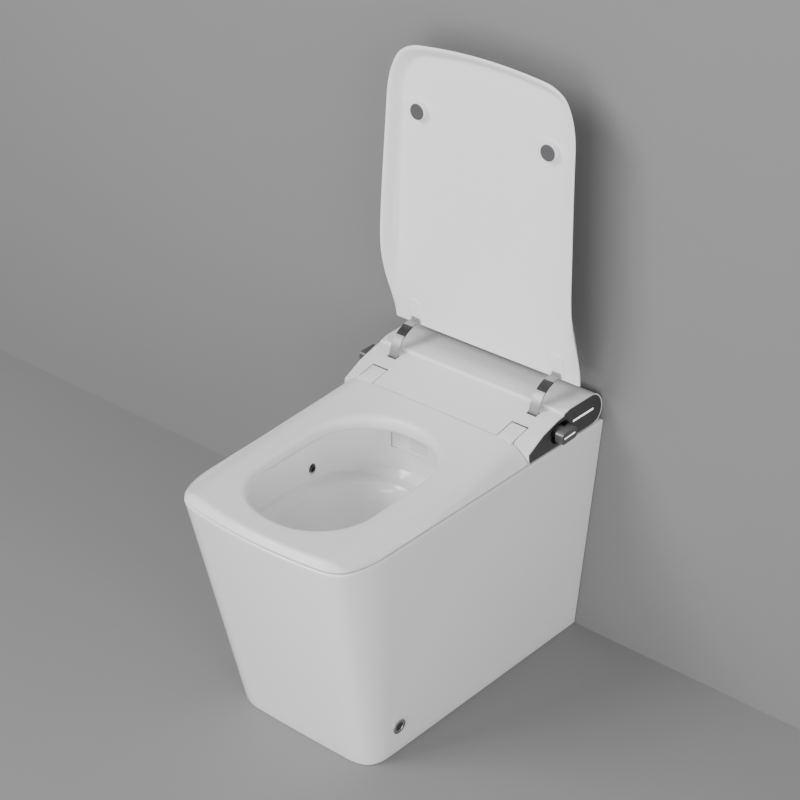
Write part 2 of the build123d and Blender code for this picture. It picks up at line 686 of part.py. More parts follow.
for side_name, s in SIDES.items():
    strap_plane = Plane.YZ.offset(s * STRAP_MID_X)
    with BuildPart() as hinge_strap:
        with BuildSketch(strap_plane):
            with BuildLine():
                outer_end = round_the_hinge(STRAP_R, STRAP_FOOT_DEG)
                inner_end = round_the_hinge(STRAP_R - STRAP_T, STRAP_FOOT_DEG)
                outer_top = round_the_hinge(STRAP_R, STRAP_TOP_DEG)
                inner_top = round_the_hinge(STRAP_R - STRAP_T, STRAP_TOP_DEG)
                mid_deg = (STRAP_FOOT_DEG + STRAP_TOP_DEG) / 2
                ThreePointArc(outer_end, round_the_hinge(STRAP_R, mid_deg), outer_top)
                ThreePointArc(
                    inner_end, round_the_hinge(STRAP_R - STRAP_T, mid_deg), inner_top,
                )
                Line(outer_end, inner_end)
                Line(outer_top, inner_top)
            make_face()
            # flange under the lid's pad
            with Locations((245.6, 500)):
                Rectangle(STRAP_T, 38, align=(Align.CENTER, Align.MIN))
            # arm and hub
            with BuildLine():
                Polyline(
                    round_the_hinge(STRAP_R - 1, STRAP_FOOT_DEG),
                    round_the_hinge(8, 150), round_the_hinge(8, 230),
                    round_the_hinge(STRAP_R - 1, STRAP_FOOT_DEG + 6), close=True,
                )
            make_face()
            with Locations((LID_HINGE_Y, LID_HINGE_Z)):
                Circle(9)
        extrude(amount=STRAP_WIDTH / 2, both=True)
        with Locations((s * STRAP_MID_X, LID_HINGE_Y, LID_HINGE_Z)):
            Cylinder(LID_PIN_R, 40, rotation=(0, 90, 0), mode=Mode.SUBTRACT)
    finish(hinge_strap, f"hinge_strap_{side_name}")

    with BuildPart() as lid_pin:
        with Locations((s * 147, LID_HINGE_Y, LID_HINGE_Z)):
            Cylinder(LID_PIN_R, 58, rotation=(0, 90, 0))
    finish(lid_pin, f"lid_pin_{side_name}")

    with BuildPart() as lid_bracket:
        with BuildSketch(Plane.YZ.offset(s * 122)):
            with Locations((LID_HINGE_Y, LID_HINGE_Z)):
                Circle(8)
            with Locations((LID_HINGE_Y, RIM_Z + SKIN)):
                Rectangle(16, LID_HINGE_Z - RIM_Z - SKIN, align=(Align.CENTER, Align.MIN))
        extrude(amount=2.5, both=True)
        with Locations((s * 122, LID_HINGE_Y, LID_HINGE_Z)):
            Cylinder(LID_PIN_R + RUNNING, 20, rotation=(0, 90, 0), mode=Mode.SUBTRACT)
    finish(lid_bracket, f"lid_bracket_{side_name}")

    with BuildPart() as lid_damper:
        with Locations((s * 168, LID_HINGE_Y, LID_HINGE_Z)):
            Cylinder(11, 20, rotation=(0, 90, 0))
        with Locations((s * 168, LID_HINGE_Y, RIM_Z + SKIN)):
            Box(20, 16, 26, align=(Align.CENTER, Align.CENTER, Align.MIN))
        with Locations((s * 168, LID_HINGE_Y, LID_HINGE_Z)):
            Cylinder(LID_PIN_R + RUNNING, 40, rotation=(0, 90, 0), mode=Mode.SUBTRACT)
    finish(lid_damper, f"lid_damper_{side_name}")

# ---------------------------------------------------------------- nozzle unit

tilt = math.radians(WAND_TILT)
# local z runs back along the wand, local y stands square to it, upwards
wand_plane = Plane(
    origin=WAND_AT, x_dir=(1, 0, 0), z_dir=(0, -math.cos(tilt), -math.sin(tilt)),
)
back_along = Vector(0, math.cos(tilt), math.sin(tilt))
upright = Vector(0, -math.sin(tilt), math.cos(tilt))
NOZZLE_FRONT_Y = 80.0


def along_wand(distance, height=0.0, x=0.0):
    """Plane across the wand, this far back from its tip and this high above its axis."""
    origin = Vector(*WAND_AT) + back_along * distance + upright * height + Vector(x, 0, 0)
    return Plane(origin=origin, x_dir=(1, 0, 0), z_dir=back_along)


with BuildPart() as nozzle_housing:
    with Locations((0, NOZZLE_FRONT_Y, 376)):
        Box(108, 38, 41.5, align=(Align.CENTER, Align.MIN, Align.MIN))
    with Locations((0, NOZZLE_FRONT_Y + 2.5, 378.5)):
        Box(103, 60, 36.5, align=(Align.CENTER, Align.MIN, Align.MIN), mode=Mode.SUBTRACT)
    with Locations((0, NOZZLE_FRONT_Y, WAND_AT[2] + 0.4)):
        Box(32, 10, 24.8, mode=Mode.SUBTRACT)
    # the dryer blows out through the underside
    with Locations((36, NOZZLE_FRONT_Y + 6, 376)):
        Box(24, 6, 10, mode=Mode.SUBTRACT)
finish(nozzle_housing, "nozzle_housing")

with BuildPart() as nozzle_cap:
    with Locations((0, NOZZLE_FRONT_Y + 1.1, WAND_AT[2])):
        Box(31, 2.2, 23)
    with Locations(along_wand(-0.05)):
        Cylinder(4, 2.5, align=(Align.CENTER, Align.CENTER, Align.MAX))
finish(nozzle_cap, "nozzle_cap")

with BuildPart() as nozzle_tip:
    with Locations(along_wand(0)):
        Cylinder(WAND_R, 18, align=(Align.CENTER, Align.CENTER, Align.MIN))
    for x in (-2.2, 0, 2.2):
        with Locations(along_wand(9, WAND_R - 2, x)):
            Cylinder(0.8, 8, rotation=(90, 0, 0), mode=Mode.SUBTRACT)
finish(nozzle_tip, "nozzle_tip")

with BuildPart() as spray_wand:
    with Locations(along_wand(18)):
        Cylinder(WAND_R, WAND_LENGTH - 18, align=(Align.CENTER, Align.CENTER, Align.MIN))
    with Locations(along_wand(30)):
        Cylinder(3, WAND_LENGTH, align=(Align.CENTER, Align.CENTER, Align.MIN), mode=Mode.SUBTRACT)
finish(spray_wand, "spray_wand")

TOOTH_PITCH = math.pi * GEAR_MODULE
PINION_R = GEAR_MODULE * PINION_TEETH / 2


def tooth(pitch_r, backlash=0.45):
    """Corners of one straight-flanked tooth, its pitch line at pitch_r, pointing along +Y."""
    half = TOOTH_PITCH / 4 - backlash / 2
    slope = math.tan(math.radians(20)) * GEAR_MODULE
    return (
        (-half - 1.2 * slope, pitch_r - 1.2 * GEAR_MODULE), (-half + slope, pitch_r + GEAR_MODULE),
        (half - slope, pitch_r + GEAR_MODULE), (half + 1.2 * slope, pitch_r - 1.2 * GEAR_MODULE),
    )


# rack seen from the side: local x runs back along the wand, local y up from its axis
rack_plane = Plane(origin=WAND_AT, x_dir=back_along, z_dir=(1, 0, 0))
RACK_START = 44.0
RACK_TEETH = int((WAND_LENGTH - RACK_START - 2) / TOOTH_PITCH)

with BuildPart() as wand_rack:
    with BuildSketch(rack_plane):
        with Locations((RACK_START, WAND_R)):
            Rectangle(
                (RACK_TEETH + 0.5) * TOOTH_PITCH, RACK_PITCH_V - 1.2 * GEAR_MODULE - WAND_R,
                align=(Align.MIN, Align.MIN),
            )
        first = RACK_START + ((PINION_S - RACK_START) % TOOTH_PITCH) + TOOTH_PITCH / 2
        for n in range(RACK_TEETH - 1):
            with Locations((first + n * TOOTH_PITCH, 0)):
                Polygon(*tooth(RACK_PITCH_V), align=None)
    extrude(amount=3, both=True)
finish(wand_rack, "wand_rack")

pinion_at = along_wand(PINION_S, RACK_PITCH_V + PINION_R).origin

with BuildPart() as nozzle_pinion:
    with BuildSketch(Plane(origin=pinion_at, x_dir=back_along, z_dir=(1, 0, 0))):
        Circle(PINION_R - 1.2 * GEAR_MODULE + 0.05)
        # one tooth points down into a gap of the rack
        for n in range(PINION_TEETH):
            with Locations(Location((0, 0), 180 + 360 / PINION_TEETH * n)):
                Polygon(*tooth(PINION_R), align=None)
    extrude(amount=3, both=True)
    with Locations(pinion_at + Vector(6, 0, 0)):
        Cylinder(2, 22, rotation=(0, 90, 0))
finish(nozzle_pinion, "nozzle_pinion")

with BuildPart() as nozzle_motor:
    with Locations(pinion_at + Vector(17, 0, 0)):
        Cylinder(11.5, 18, rotation=(0, 90, 0))
        Cylinder(2 + RUNNING, 40, rotation=(0, 90, 0), mode=Mode.SUBTRACT)
finish(nozzle_motor, "nozzle_motor")

with BuildPart() as wand_guide:
    # trough under the wand, from the nozzle housing back to the tail
    with Locations(along_wand(50, -4.5)):
        Box(22, 12, 110, align=(Align.CENTER, Align.CENTER, Align.MIN))
    with Locations(along_wand(40)):
        Box(
            2 * WAND_R + 0.6, 2 * WAND_R + 0.6, 140,
            align=(Align.CENTER, Align.CENTER, Align.MIN), mode=Mode.SUBTRACT,
        )
finish(wand_guide, "wand_guide")

# ---------------------------------------------------------------- water, air and electrics

with BuildPart() as heater_tank:
    with Locations((-89.5, 219, 398)):
        Box(54, 108, 54, align=(Align.CENTER, Align.CENTER, Align.MIN))
    fillet(heater_tank.edges().filter_by(Axis.Y), 10)
finish(heater_tank, "heater_tank")

with BuildPart() as water_pump:
    with Locations((-89.5, 200, 372)):
        Cylinder(18, 70, rotation=(90, 0, 0))
    with Locations((-89.5, 200, 385)):
        Cylinder(5, 13, align=(Align.CENTER, Align.CENTER, Align.MIN))
finish(water_pump, "water_pump")

with BuildPart() as inlet_valve:
    # solenoid valve with its threaded connector pointing down
    with Locations((INLET_AT[0], 210, 385)):
        Box(34, 86, 26)
    with Locations((INLET_AT[0], 190, 398)):
        Cylinder(12, 20, align=(Align.CENTER, Align.CENTER, Align.MIN))
finish(inlet_valve, "inlet_valve")

with BuildPart() as water_inlet:
    with Locations((*INLET_AT, 372)):
        Cylinder(13, 5, align=(Align.CENTER, Align.CENTER, Align.MAX))
    with Locations((*INLET_AT, 367)):
        Cylinder(INLET_THREAD_R, 18, align=(Align.CENTER, Align.CENTER, Align.MAX))
    with Locations((*INLET_AT, 372)):
        Cylinder(6.5, 60, mode=Mode.SUBTRACT)
finish(water_inlet, "water_inlet")

with BuildPart() as fan_housing:
    with Locations((*FAN_AT, 424)):
        Cylinder(FAN_R, 34, align=(Align.CENTER, Align.CENTER, Align.MIN))
    with Locations((FAN_AT[0] - 14, FAN_AT[1] - 45, 426)):
        Box(28, 50, 20, align=(Align.CENTER, Align.CENTER, Align.MIN))
    with Locations((*FAN_AT, 426)):
        Cylinder(FAN_R - 2, 30, align=(Align.CENTER, Align.CENTER, Align.MIN), mode=Mode.SUBTRACT)
    with Locations((FAN_AT[0] - 14, FAN_AT[1] - 45, 428)):
        Box(24, 60, 16, align=(Align.CENTER, Align.CENTER, Align.MIN), mode=Mode.SUBTRACT)
    with Locations((*FAN_AT, 450)):
        Cylinder(13, 20, align=(Align.CENTER, Align.CENTER, Align.MIN), mode=Mode.SUBTRACT)
finish(fan_housing, "fan_housing")

with BuildPart() as fan_wheel:
    with Locations((*FAN_AT, 441)):
        Cylinder(22, 2, align=(Align.CENTER, Align.CENTER, Align.MIN))
        Cylinder(5, 12, align=(Align.CENTER, Align.CENTER, Align.MIN))
    with Locations((*FAN_AT, 443)):
        with PolarLocations(19.5, 24):
            Box(4, 1.2, 9, align=(Align.CENTER, Align.CENTER, Align.MIN))
    with Locations((*FAN_AT, 441)):
        Cylinder(2, 30, mode=Mode.SUBTRACT)
finish(fan_wheel, "fan_wheel")

with BuildPart() as fan_motor:
    with Locations((*FAN_AT, 426)):
        Cylinder(14, 13, align=(Align.CENTER, Align.CENTER, Align.MIN))
    with Locations((*FAN_AT, 439)):
        Cylinder(2 - RUNNING, 13, align=(Align.CENTER, Align.CENTER, Align.MIN))
finish(fan_motor, "fan_motor")

with BuildPart() as air_duct:
    for inset, mode in ((0, Mode.ADD), (2, Mode.SUBTRACT)):
        for x, y, z, width, height in ((FAN_AT[0] - 14, 155, 436, 28, 20), (31, 118.5, 398, 23, 24)):
            with BuildSketch(Plane(origin=(x, y, z), x_dir=(1, 0, 0), z_dir=(0, -1, 0))):
                Rectangle(width - 2 * inset, height - 2 * inset)
        loft(ruled=True, mode=mode)
finish(air_duct, "air_duct")

with BuildPart() as control_box:
    for grow, mode in ((0, Mode.ADD), (-2, Mode.SUBTRACT)):
        with Locations((0, 277, 446)):
            Box(104 + 2 * grow, 22 + 2 * grow, 32 + 2 * grow, mode=mode)
finish(control_box, "control_box")

with BuildPart() as control_board:
    with Locations((0, 283, 446)):
        Box(96, 1.6, 26)
    with Locations((-30, 278.5, 446), (5, 278.5, 450), (32, 278.5, 442)):
        Box(16, 7.4, 12)
finish(control_board, "control_board")

with BuildPart() as cable_gland:
    with Locations((*GLAND_AT, RIM_Z - 16)):
        Cylinder(GLAND_R, 16 + SKIN, align=(Align.CENTER, Align.CENTER, Align.MIN))
        Cylinder(GLAND_R + 3, 12, align=(Align.CENTER, Align.CENTER, Align.MIN))
    with Locations((*GLAND_AT, RIM_Z)):
        Cylinder(3.6, 60, mode=Mode.SUBTRACT)
finish(cable_gland, "cable_gland")
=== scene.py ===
"""Visual model of a one-piece smart toilet with an electric bidet seat.

Units: sizes in the classes are millimetres in the part's own frame, and become metres
when a mesh is made.  +Z is up, -Y is the front of the pan and the wall is at +Y.
"""

import json
import logging
import math
from dataclasses import dataclass, field
from enum import Enum
from typing import Sequence

import bmesh
import bpy
import numpy as np
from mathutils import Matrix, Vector


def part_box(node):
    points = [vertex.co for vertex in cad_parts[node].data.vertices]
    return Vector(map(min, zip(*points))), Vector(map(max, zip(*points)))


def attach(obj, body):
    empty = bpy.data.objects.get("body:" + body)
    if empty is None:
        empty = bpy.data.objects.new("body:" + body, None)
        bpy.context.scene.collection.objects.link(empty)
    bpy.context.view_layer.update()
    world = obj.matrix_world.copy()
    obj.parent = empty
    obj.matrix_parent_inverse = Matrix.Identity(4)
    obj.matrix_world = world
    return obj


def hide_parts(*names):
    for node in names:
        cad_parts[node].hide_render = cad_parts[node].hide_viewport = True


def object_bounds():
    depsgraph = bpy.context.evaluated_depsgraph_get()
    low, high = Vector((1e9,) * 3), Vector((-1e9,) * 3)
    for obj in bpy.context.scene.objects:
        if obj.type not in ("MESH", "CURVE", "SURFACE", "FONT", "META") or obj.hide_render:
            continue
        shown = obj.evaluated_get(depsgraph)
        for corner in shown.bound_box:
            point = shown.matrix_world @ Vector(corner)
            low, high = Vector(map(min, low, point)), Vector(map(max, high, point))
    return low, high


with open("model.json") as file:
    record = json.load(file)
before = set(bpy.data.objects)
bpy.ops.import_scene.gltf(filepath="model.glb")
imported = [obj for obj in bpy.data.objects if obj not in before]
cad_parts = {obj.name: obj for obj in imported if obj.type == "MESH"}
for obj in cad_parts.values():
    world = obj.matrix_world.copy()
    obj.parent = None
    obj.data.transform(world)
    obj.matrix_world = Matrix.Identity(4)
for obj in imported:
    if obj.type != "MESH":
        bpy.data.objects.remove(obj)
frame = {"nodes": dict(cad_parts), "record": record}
CAD_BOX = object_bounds()

MM = 0.001
log = logging.getLogger("toilet")


class Body(str, Enum):
    """The moving bodies that pieces ride on."""

    TOILET = "toilet"
    SEAT = "seat"
    LID = "lid"


# ---------------------------------------------------------------- numpy helpers


def smooth_step(value: np.ndarray, low: float, high: float) -> np.ndarray:
    """Ease from 0 at low to 1 at high: t squared times (3 - 2t).

    Args:
        value: where to read the curve.
        low: the value that gives 0.
        high: the value that gives 1.

    Returns:
        The eased share, 0 to 1.
    """
    t = np.clip((value - low) / (high - low), 0.0, 1.0)
    return t * t * (3.0 - 2.0 * t)


def soft_min(first: np.ndarray, second: np.ndarray, width: float) -> np.ndarray:
    """Lower of two heights, with the crease between them rounded over a width.

    Args:
        first: heights.
        second: heights.
        width: how wide the rounding is.

    Returns:
        The blended lower height.
    """
    share = np.clip(0.5 + 0.5 * (second - first) / width, 0.0, 1.0)
    return second * (1.0 - share) + first * share - width * share * (1.0 - share)


def spline_through(
    knots: Sequence[tuple[float, float]], at: np.ndarray
) -> np.ndarray:
    """Monotone-friendly cubic through (position, value) knots, read at positions.

    Each span is a cubic Hermite whose slopes are the mean of its neighbours' slopes.

    Args:
        knots: (position, value) pairs, positions rising.
        at: positions to read.

    Returns:
        The values there; outside the knots the end slopes carry on.
    """
    x, y = np.array(knots, float).T
    slope = np.diff(y) / np.diff(x)
    tangent = np.concatenate((slope[:1], (slope[1:] + slope[:-1]) / 2, slope[-1:]))
    cell = np.clip(np.searchsorted(x, at) - 1, 0, len(x) - 2)
    width = x[cell + 1] - x[cell]
    t = np.clip((at - x[cell]) / width, 0.0, 1.0)
    inside = (
        y[cell] * (1 + 2 * t) * (1 - t) ** 2
        + tangent[cell] * width * t * (1 - t) ** 2
        + y[cell + 1] * t * t * (3 - 2 * t)
        - tangent[cell + 1] * width * t * t * (1 - t)
    )
    before = np.minimum(at - x[0], 0.0) * tangent[0]
    after = np.maximum(at - x[-1], 0.0) * tangent[-1]
    return inside + before + after


def hermite(
    start: Sequence[float], end: Sequence[float], leave: Sequence[float],
    arrive: Sequence[float], share: np.ndarray,
) -> np.ndarray:
    """Plane cubic from start to end with given end directions scaled by the chord.

    Args:
        start: first point.
        end: last point.
        leave: direction at the start.
        arrive: direction at the end.
        share: 0 to 1 along the curve.

    Returns:
        Points, one row each.
    """
    a, b = np.array(start, float), np.array(end, float)
    chord = np.linalg.norm(b - a)
    u = np.array(leave, float) / np.linalg.norm(leave) * chord
    v = np.array(arrive, float) / np.linalg.norm(arrive) * chord
    t = share[:, None]
    return (
        a * (1 + 2 * t) * (1 - t) ** 2 + u * t * (1 - t) ** 2
        + b * t * t * (3 - 2 * t) - v * t * t * (1 - t)
    )


@dataclass(frozen=True)
class Counts:
    """How many points each stretch of half a loop has; every loop uses the same."""

    front: int = 12
    corner: int = 18
    side: int = 30
    rear_corner: int = 14
    rear: int = 14


COUNTS = Counts()


def shares(count: int) -> np.ndarray:
    """Evenly spaced shares from 0, short of 1."""
    return np.linspace(0.0, 1.0, count, endpoint=False)


def close_loop(half: np.ndarray) -> np.ndarray:
    """Mirror half a loop, front middle to rear middle, into the whole loop."""
    mirrored = half[1:-1][::-1] * (-1.0, 1.0)
    return np.concatenate((half, mirrored))


def round_box_loop(
    half_width: float, front: float, rear: float, front_radius: float,
    rear_radius: float | None = None,
) -> np.ndarray:
    """Loop of a rectangle with round corners, in the order that every loop uses.

    Args:
        half_width: half of its width.
        front: position of its front edge.
        rear: position of its rear edge.
        front_radius: radius of the two front corners.
        rear_radius: radius of the two rear corners, the front's if left out.

    Returns:
        Points of the closed loop.
    """
    back = front_radius if rear_radius is None else rear_radius
    turn = shares(COUNTS.corner) * math.pi / 2
    turn_back = shares(COUNTS.rear_corner) * math.pi / 2
    straight = shares(COUNTS.side)
    front_x = shares(COUNTS.front) * (half_width - front_radius)
    rear_x = (1 - np.linspace(0, 1, COUNTS.rear)) * (half_width - back)
    side_y = (front + front_radius) + straight * (rear - back - front - front_radius)
    parts = (
        np.column_stack((front_x, np.full_like(front_x, front))),
        np.column_stack((
            half_width - front_radius + front_radius * np.sin(turn),
            front + front_radius - front_radius * np.cos(turn),
        )),
        np.column_stack((np.full_like(side_y, half_width), side_y)),
        np.column_stack((
            half_width - back + back * np.cos(turn_back),
            rear - back + back * np.sin(turn_back),
        )),
        np.column_stack((rear_x, np.full_like(rear_x, rear))),
    )
    return close_loop(np.concatenate(parts))


@dataclass(frozen=True)
class Outline:
    """A pan's outline: bowed nose, soft corners, straight sides and a flat rear."""

    nose: float
    nose_half: float
    nose_drop: float
    corner: tuple[float, float]
    side: float
    side_half: float
    rear: float
    rear_half: float
    rear_radius: float = 2.0
    knee: tuple[float, float] | None = None

    def loop(self, inset: float = 0.0, rear: float | None = None) -> np.ndarray:
        """The outline moved in, in the order that every loop uses.

        The nose is a parabola, each corner two cubics and the rear corner a quarter turn.
        A side with a knee eases from one straight to the other.

        Args:
            inset: how far it moves in.
            rear: where the rear edge is, if it doesn't move in with the rest.

        Returns:
            Points of the closed loop.
        """
        rear_y = self.rear - inset if rear is None else rear
        bend = (self.rear, self.rear_half) if self.knee is None else self.knee[::-1]
        flare = (bend[1] - self.side_half) / (bend[0] - self.side)
        nose_half, side_half = self.nose_half - inset, self.side_half - inset
        rear_half = self.rear_half - inset + flare * (rear_y - self.rear)
        first = (nose_half, self.nose + self.nose_drop + inset)
        middle = (self.corner[0] - 0.75 * inset, self.corner[1] + 0.75 * inset)
        last = (side_half, self.side)
        bow = 2 * self.nose_drop / self.nose_half
        across = np.subtract(last, first)
        half_corner = COUNTS.corner // 2
        t = shares(COUNTS.front)
        turn = shares(COUNTS.rear_corner) * math.pi / 2
        radius = self.rear_radius
        side_t = shares(COUNTS.side)[:, None]
        end = np.array((rear_half, rear_y - radius))
        sides = np.array(last) * (1 - side_t) + end * side_t
        if self.knee is not None:
            knots = (tuple(last[::-1]), (self.knee[1], self.knee[0] - inset), tuple(end[::-1]))
            sides[:, 0] = spline_through(knots, sides[:, 1])
        rear_x = (1 - np.linspace(0, 1, COUNTS.rear)) * (rear_half - radius)
        parts = (
            np.column_stack((t * nose_half, self.nose + inset + self.nose_drop * t * t)),
            hermite(first, middle, (1, bow), across * (1.0, 1.08), shares(half_corner)),
            hermite(middle, last, across * (1.0, 1.08), (flare, 1), shares(half_corner)),
            sides,
            np.column_stack((
                rear_half - radius + radius * np.cos(turn),
                rear_y - radius + radius * np.sin(turn),
            )),
            np.column_stack((rear_x, np.full_like(rear_x, rear_y))),
        )
        return close_loop(np.concatenate(parts))


def rear_share() -> np.ndarray:
    """For each point of a loop, 1 where it lies on the rear edge and 0 elsewhere."""
    ahead = COUNTS.front + COUNTS.corner + COUNTS.side
    rear = COUNTS.rear_corner + COUNTS.rear
    half = np.concatenate((np.zeros(ahead), np.ones(rear)))
    return np.concatenate((half, half[1:-1][::-1]))


# ---------------------------------------------------------------- meshes


def mesh_piece(
    name: str, points: np.ndarray, faces: list[Sequence[int]], smooth_deg: float = 40.0,
) -> bpy.types.Object:
    """Put a closed surface into a new object at the origin.

    Args:
        name: name of the piece.
        points: corners in millimetres, one row each.
        faces: corner numbers of each face.
        smooth_deg: edges sharper than this stay crisp.

    Returns:
        The new object.
    """
    mesh = bpy.data.meshes.new(name)
    mesh.from_pydata(points * MM, [], faces)
    work = bmesh.new()
    work.from_mesh(mesh)
    bmesh.ops.remove_doubles(work, verts=work.verts, dist=1e-6)
    bmesh.ops.recalc_face_normals(work, faces=work.faces)
    work.to_mesh(mesh)
    work.free()
    mesh.shade_smooth()
    mesh.set_sharp_from_angle(angle=math.radians(smooth_deg))
    piece = bpy.data.objects.new(name, mesh)
    bpy.context.scene.collection.objects.link(piece)
    return piece


def skin_rows(
    name: str, rows: np.ndarray, closed: bool = False, smooth_deg: float = 40.0,
) -> bpy.types.Object:
    """Skin a stack of equal loops into a closed piece.

    Face (r, c) joins points c and c + 1 of rows r and r + 1; the last point meets the
    first.  The end loops are capped, unless the last row meets the first as well.

    Args:
        name: name of the piece.
        rows: array of rows, points and coordinates.
        closed: whether the last row joins the first.
        smooth_deg: edges sharper than this stay crisp.

    Returns:
        The new object.
    """
    count, width = rows.shape[:2]
    steps = count if closed else count - 1
    r, c = np.meshgrid(np.arange(steps), np.arange(width), indexing="ij")
    r, c = r.ravel(), c.ravel()
    below, beside = (r + 1) % count, (c + 1) % width
    quads = np.column_stack((
        r * width + c, r * width + beside, below * width + beside, below * width + c,
    ))
    faces: list[Sequence[int]] = quads.tolist()
    if not closed:
        faces.append(list(range(width)))
        faces.append(list(range((count - 1) * width, count * width)))
    return mesh_piece(name, rows.reshape(-1, 3), faces, smooth_deg)


def flat_rows(loops: Sequence[np.ndarray], heights: Sequence) -> np.ndarray:
    """Stack XY loops at heights, each one number or one per point."""
    width = len(loops[0])
    return np.stack([
        np.column_stack((loop, np.broadcast_to(height, width)))
        for loop, height in zip(loops, heights)
    ])


def cut(piece: bpy.types.Object, cutter: bpy.types.Object) -> None:
    """Cut one closed piece with another and remove the cutter.

    Args:
        piece: what is cut.
        cutter: what it is cut with.
    """
    modifier = piece.modifiers.new("cut", "BOOLEAN")
    modifier.operation = "DIFFERENCE"
    modifier.solver = "EXACT"
    modifier.object = cutter
    bpy.context.view_layer.update()
    graph = bpy.context.evaluated_depsgraph_get()
    result = bpy.data.meshes.new_from_object(piece.evaluated_get(graph))
    piece.modifiers.clear()
    old = piece.data
    piece.data = result
    bpy.data.meshes.remove(old)
    bpy.data.objects.remove(cutter)
    piece.data.shade_smooth()
    piece.data.set_sharp_from_angle(angle=math.radians(38))


def box_piece(low: Sequence[float], high: Sequence[float], name: str = "cutter") -> bpy.types.Object:
    """Plain block between two corners, used only for cutting."""
    x, y, z = zip(low, high)
    loop = np.array([(x[0], y[0]), (x[1], y[0]), (x[1], y[1]), (x[0], y[1])], float)
    return skin_rows(name, flat_rows([loop, loop], z))


# ---------------------------------------------------------------- finishes


def group_socket(
    tree: bpy.types.NodeTree, name: str, is_input: bool, kind: str, default: object = None,
) -> None:
    """Add one named socket to a shader group.

    Args:
        tree: the group.
        name: name of the socket.
        is_input: whether it is an input.
        kind: "NodeSocketFloat" or "NodeSocketColor".
        default: its starting value.
    """
    socket = tree.interface.new_socket(
        name=name, in_out="INPUT" if is_input else "OUTPUT", socket_type=kind,
    )
    if default is not None:
        socket.default_value = default


def drift_group() -> bpy.types.NodeTree:
    """Shader group for the slow drift of colour and gloss and the fine relief of a skin."""
    name = "skin drift"
    if name in bpy.data.node_groups:
        return bpy.data.node_groups[name]
    tree = bpy.data.node_groups.new(name, "ShaderNodeTree")
    group_socket(tree, "Colour", True, "NodeSocketColor", (0.8, 0.8, 0.8, 1))
    group_socket(tree, "Colour Drift", True, "NodeSocketFloat", 0.02)
    group_socket(tree, "Roughness", True, "NodeSocketFloat", 0.2)
    group_socket(tree, "Roughness Drift", True, "NodeSocketFloat", 0.05)
    group_socket(tree, "Grain Scale", True, "NodeSocketFloat", 400.0)
    group_socket(tree, "Colour", False, "NodeSocketColor")
    group_socket(tree, "Roughness", False, "NodeSocketFloat")
    group_socket(tree, "Height", False, "NodeSocketFloat")
    nodes, links = tree.nodes, tree.links
    inputs, outputs = nodes.new("NodeGroupInput"), nodes.new("NodeGroupOutput")
    place = nodes.new("ShaderNodeTexCoord")
    slow = nodes.new("ShaderNodeTexNoise")
    slow.inputs["Scale"].default_value = 9.0
    slow.inputs["Detail"].default_value = 4.0
    fine = nodes.new("ShaderNodeTexNoise")
    fine.inputs["Detail"].default_value = 3.0
    links.new(place.outputs["Object"], slow.inputs["Vector"])
    links.new(place.outputs["Object"], fine.inputs["Vector"])
    links.new(inputs.outputs["Grain Scale"], fine.inputs["Scale"])
    centred = nodes.new("ShaderNodeMath")
    centred.operation = "SUBTRACT"
    centred.inputs[1].default_value = 0.5
    links.new(slow.outputs["Fac"], centred.inputs[0])
    shade = nodes.new("ShaderNodeMath")
    shade.operation = "MULTIPLY_ADD"
    shade.inputs[2].default_value = 1.0
    links.new(centred.outputs[0], shade.inputs[0])
    links.new(inputs.outputs["Colour Drift"], shade.inputs[1])
    tint = nodes.new("ShaderNodeVectorMath")
    tint.operation = "SCALE"
    links.new(inputs.outputs["Colour"], tint.inputs[0])
    links.new(shade.outputs[0], tint.inputs["Scale"])
    links.new(tint.outputs[0], outputs.inputs["Colour"])
    gloss = nodes.new("ShaderNodeMath")
    gloss.operation = "MULTIPLY_ADD"
    links.new(centred.outputs[0], gloss.inputs[0])
    links.new(inputs.outputs["Roughness Drift"], gloss.inputs[1])
    links.new(inputs.outputs["Roughness"], gloss.inputs[2])
    links.new(gloss.outputs[0], outputs.inputs["Roughness"])
    links.new(fine.outputs["Fac"], outputs.inputs["Height"])
    return tree


def streak_group() -> bpy.types.NodeTree:
    """Shader group for the long fine streaks of brushed metal, along one axis."""
    name = "brushed streaks"
    if name in bpy.data.node_groups:
        return bpy.data.node_groups[name]
    tree = bpy.data.node_groups.new(name, "ShaderNodeTree")
    group_socket(tree, "Across", True, "NodeSocketFloat", 900.0)
    group_socket(tree, "Streaks", False, "NodeSocketFloat")
    nodes, links = tree.nodes, tree.links
    inputs, outputs = nodes.new("NodeGroupInput"), nodes.new("NodeGroupOutput")
    place = nodes.new("ShaderNodeTexCoord")
    stretch = nodes.new("ShaderNodeMapping")
    stretch.inputs["Scale"].default_value = (1.0, 0.04, 0.04)
    noise = nodes.new("ShaderNodeTexNoise")
    noise.inputs["Detail"].default_value = 5.0
    links.new(place.outputs["Object"], stretch.inputs["Vector"])
    links.new(stretch.outputs[0], noise.inputs["Vector"])
    links.new(inputs.outputs["Across"], noise.inputs["Scale"])
    links.new(noise.outputs["Fac"], outputs.inputs["Streaks"])
    return tree


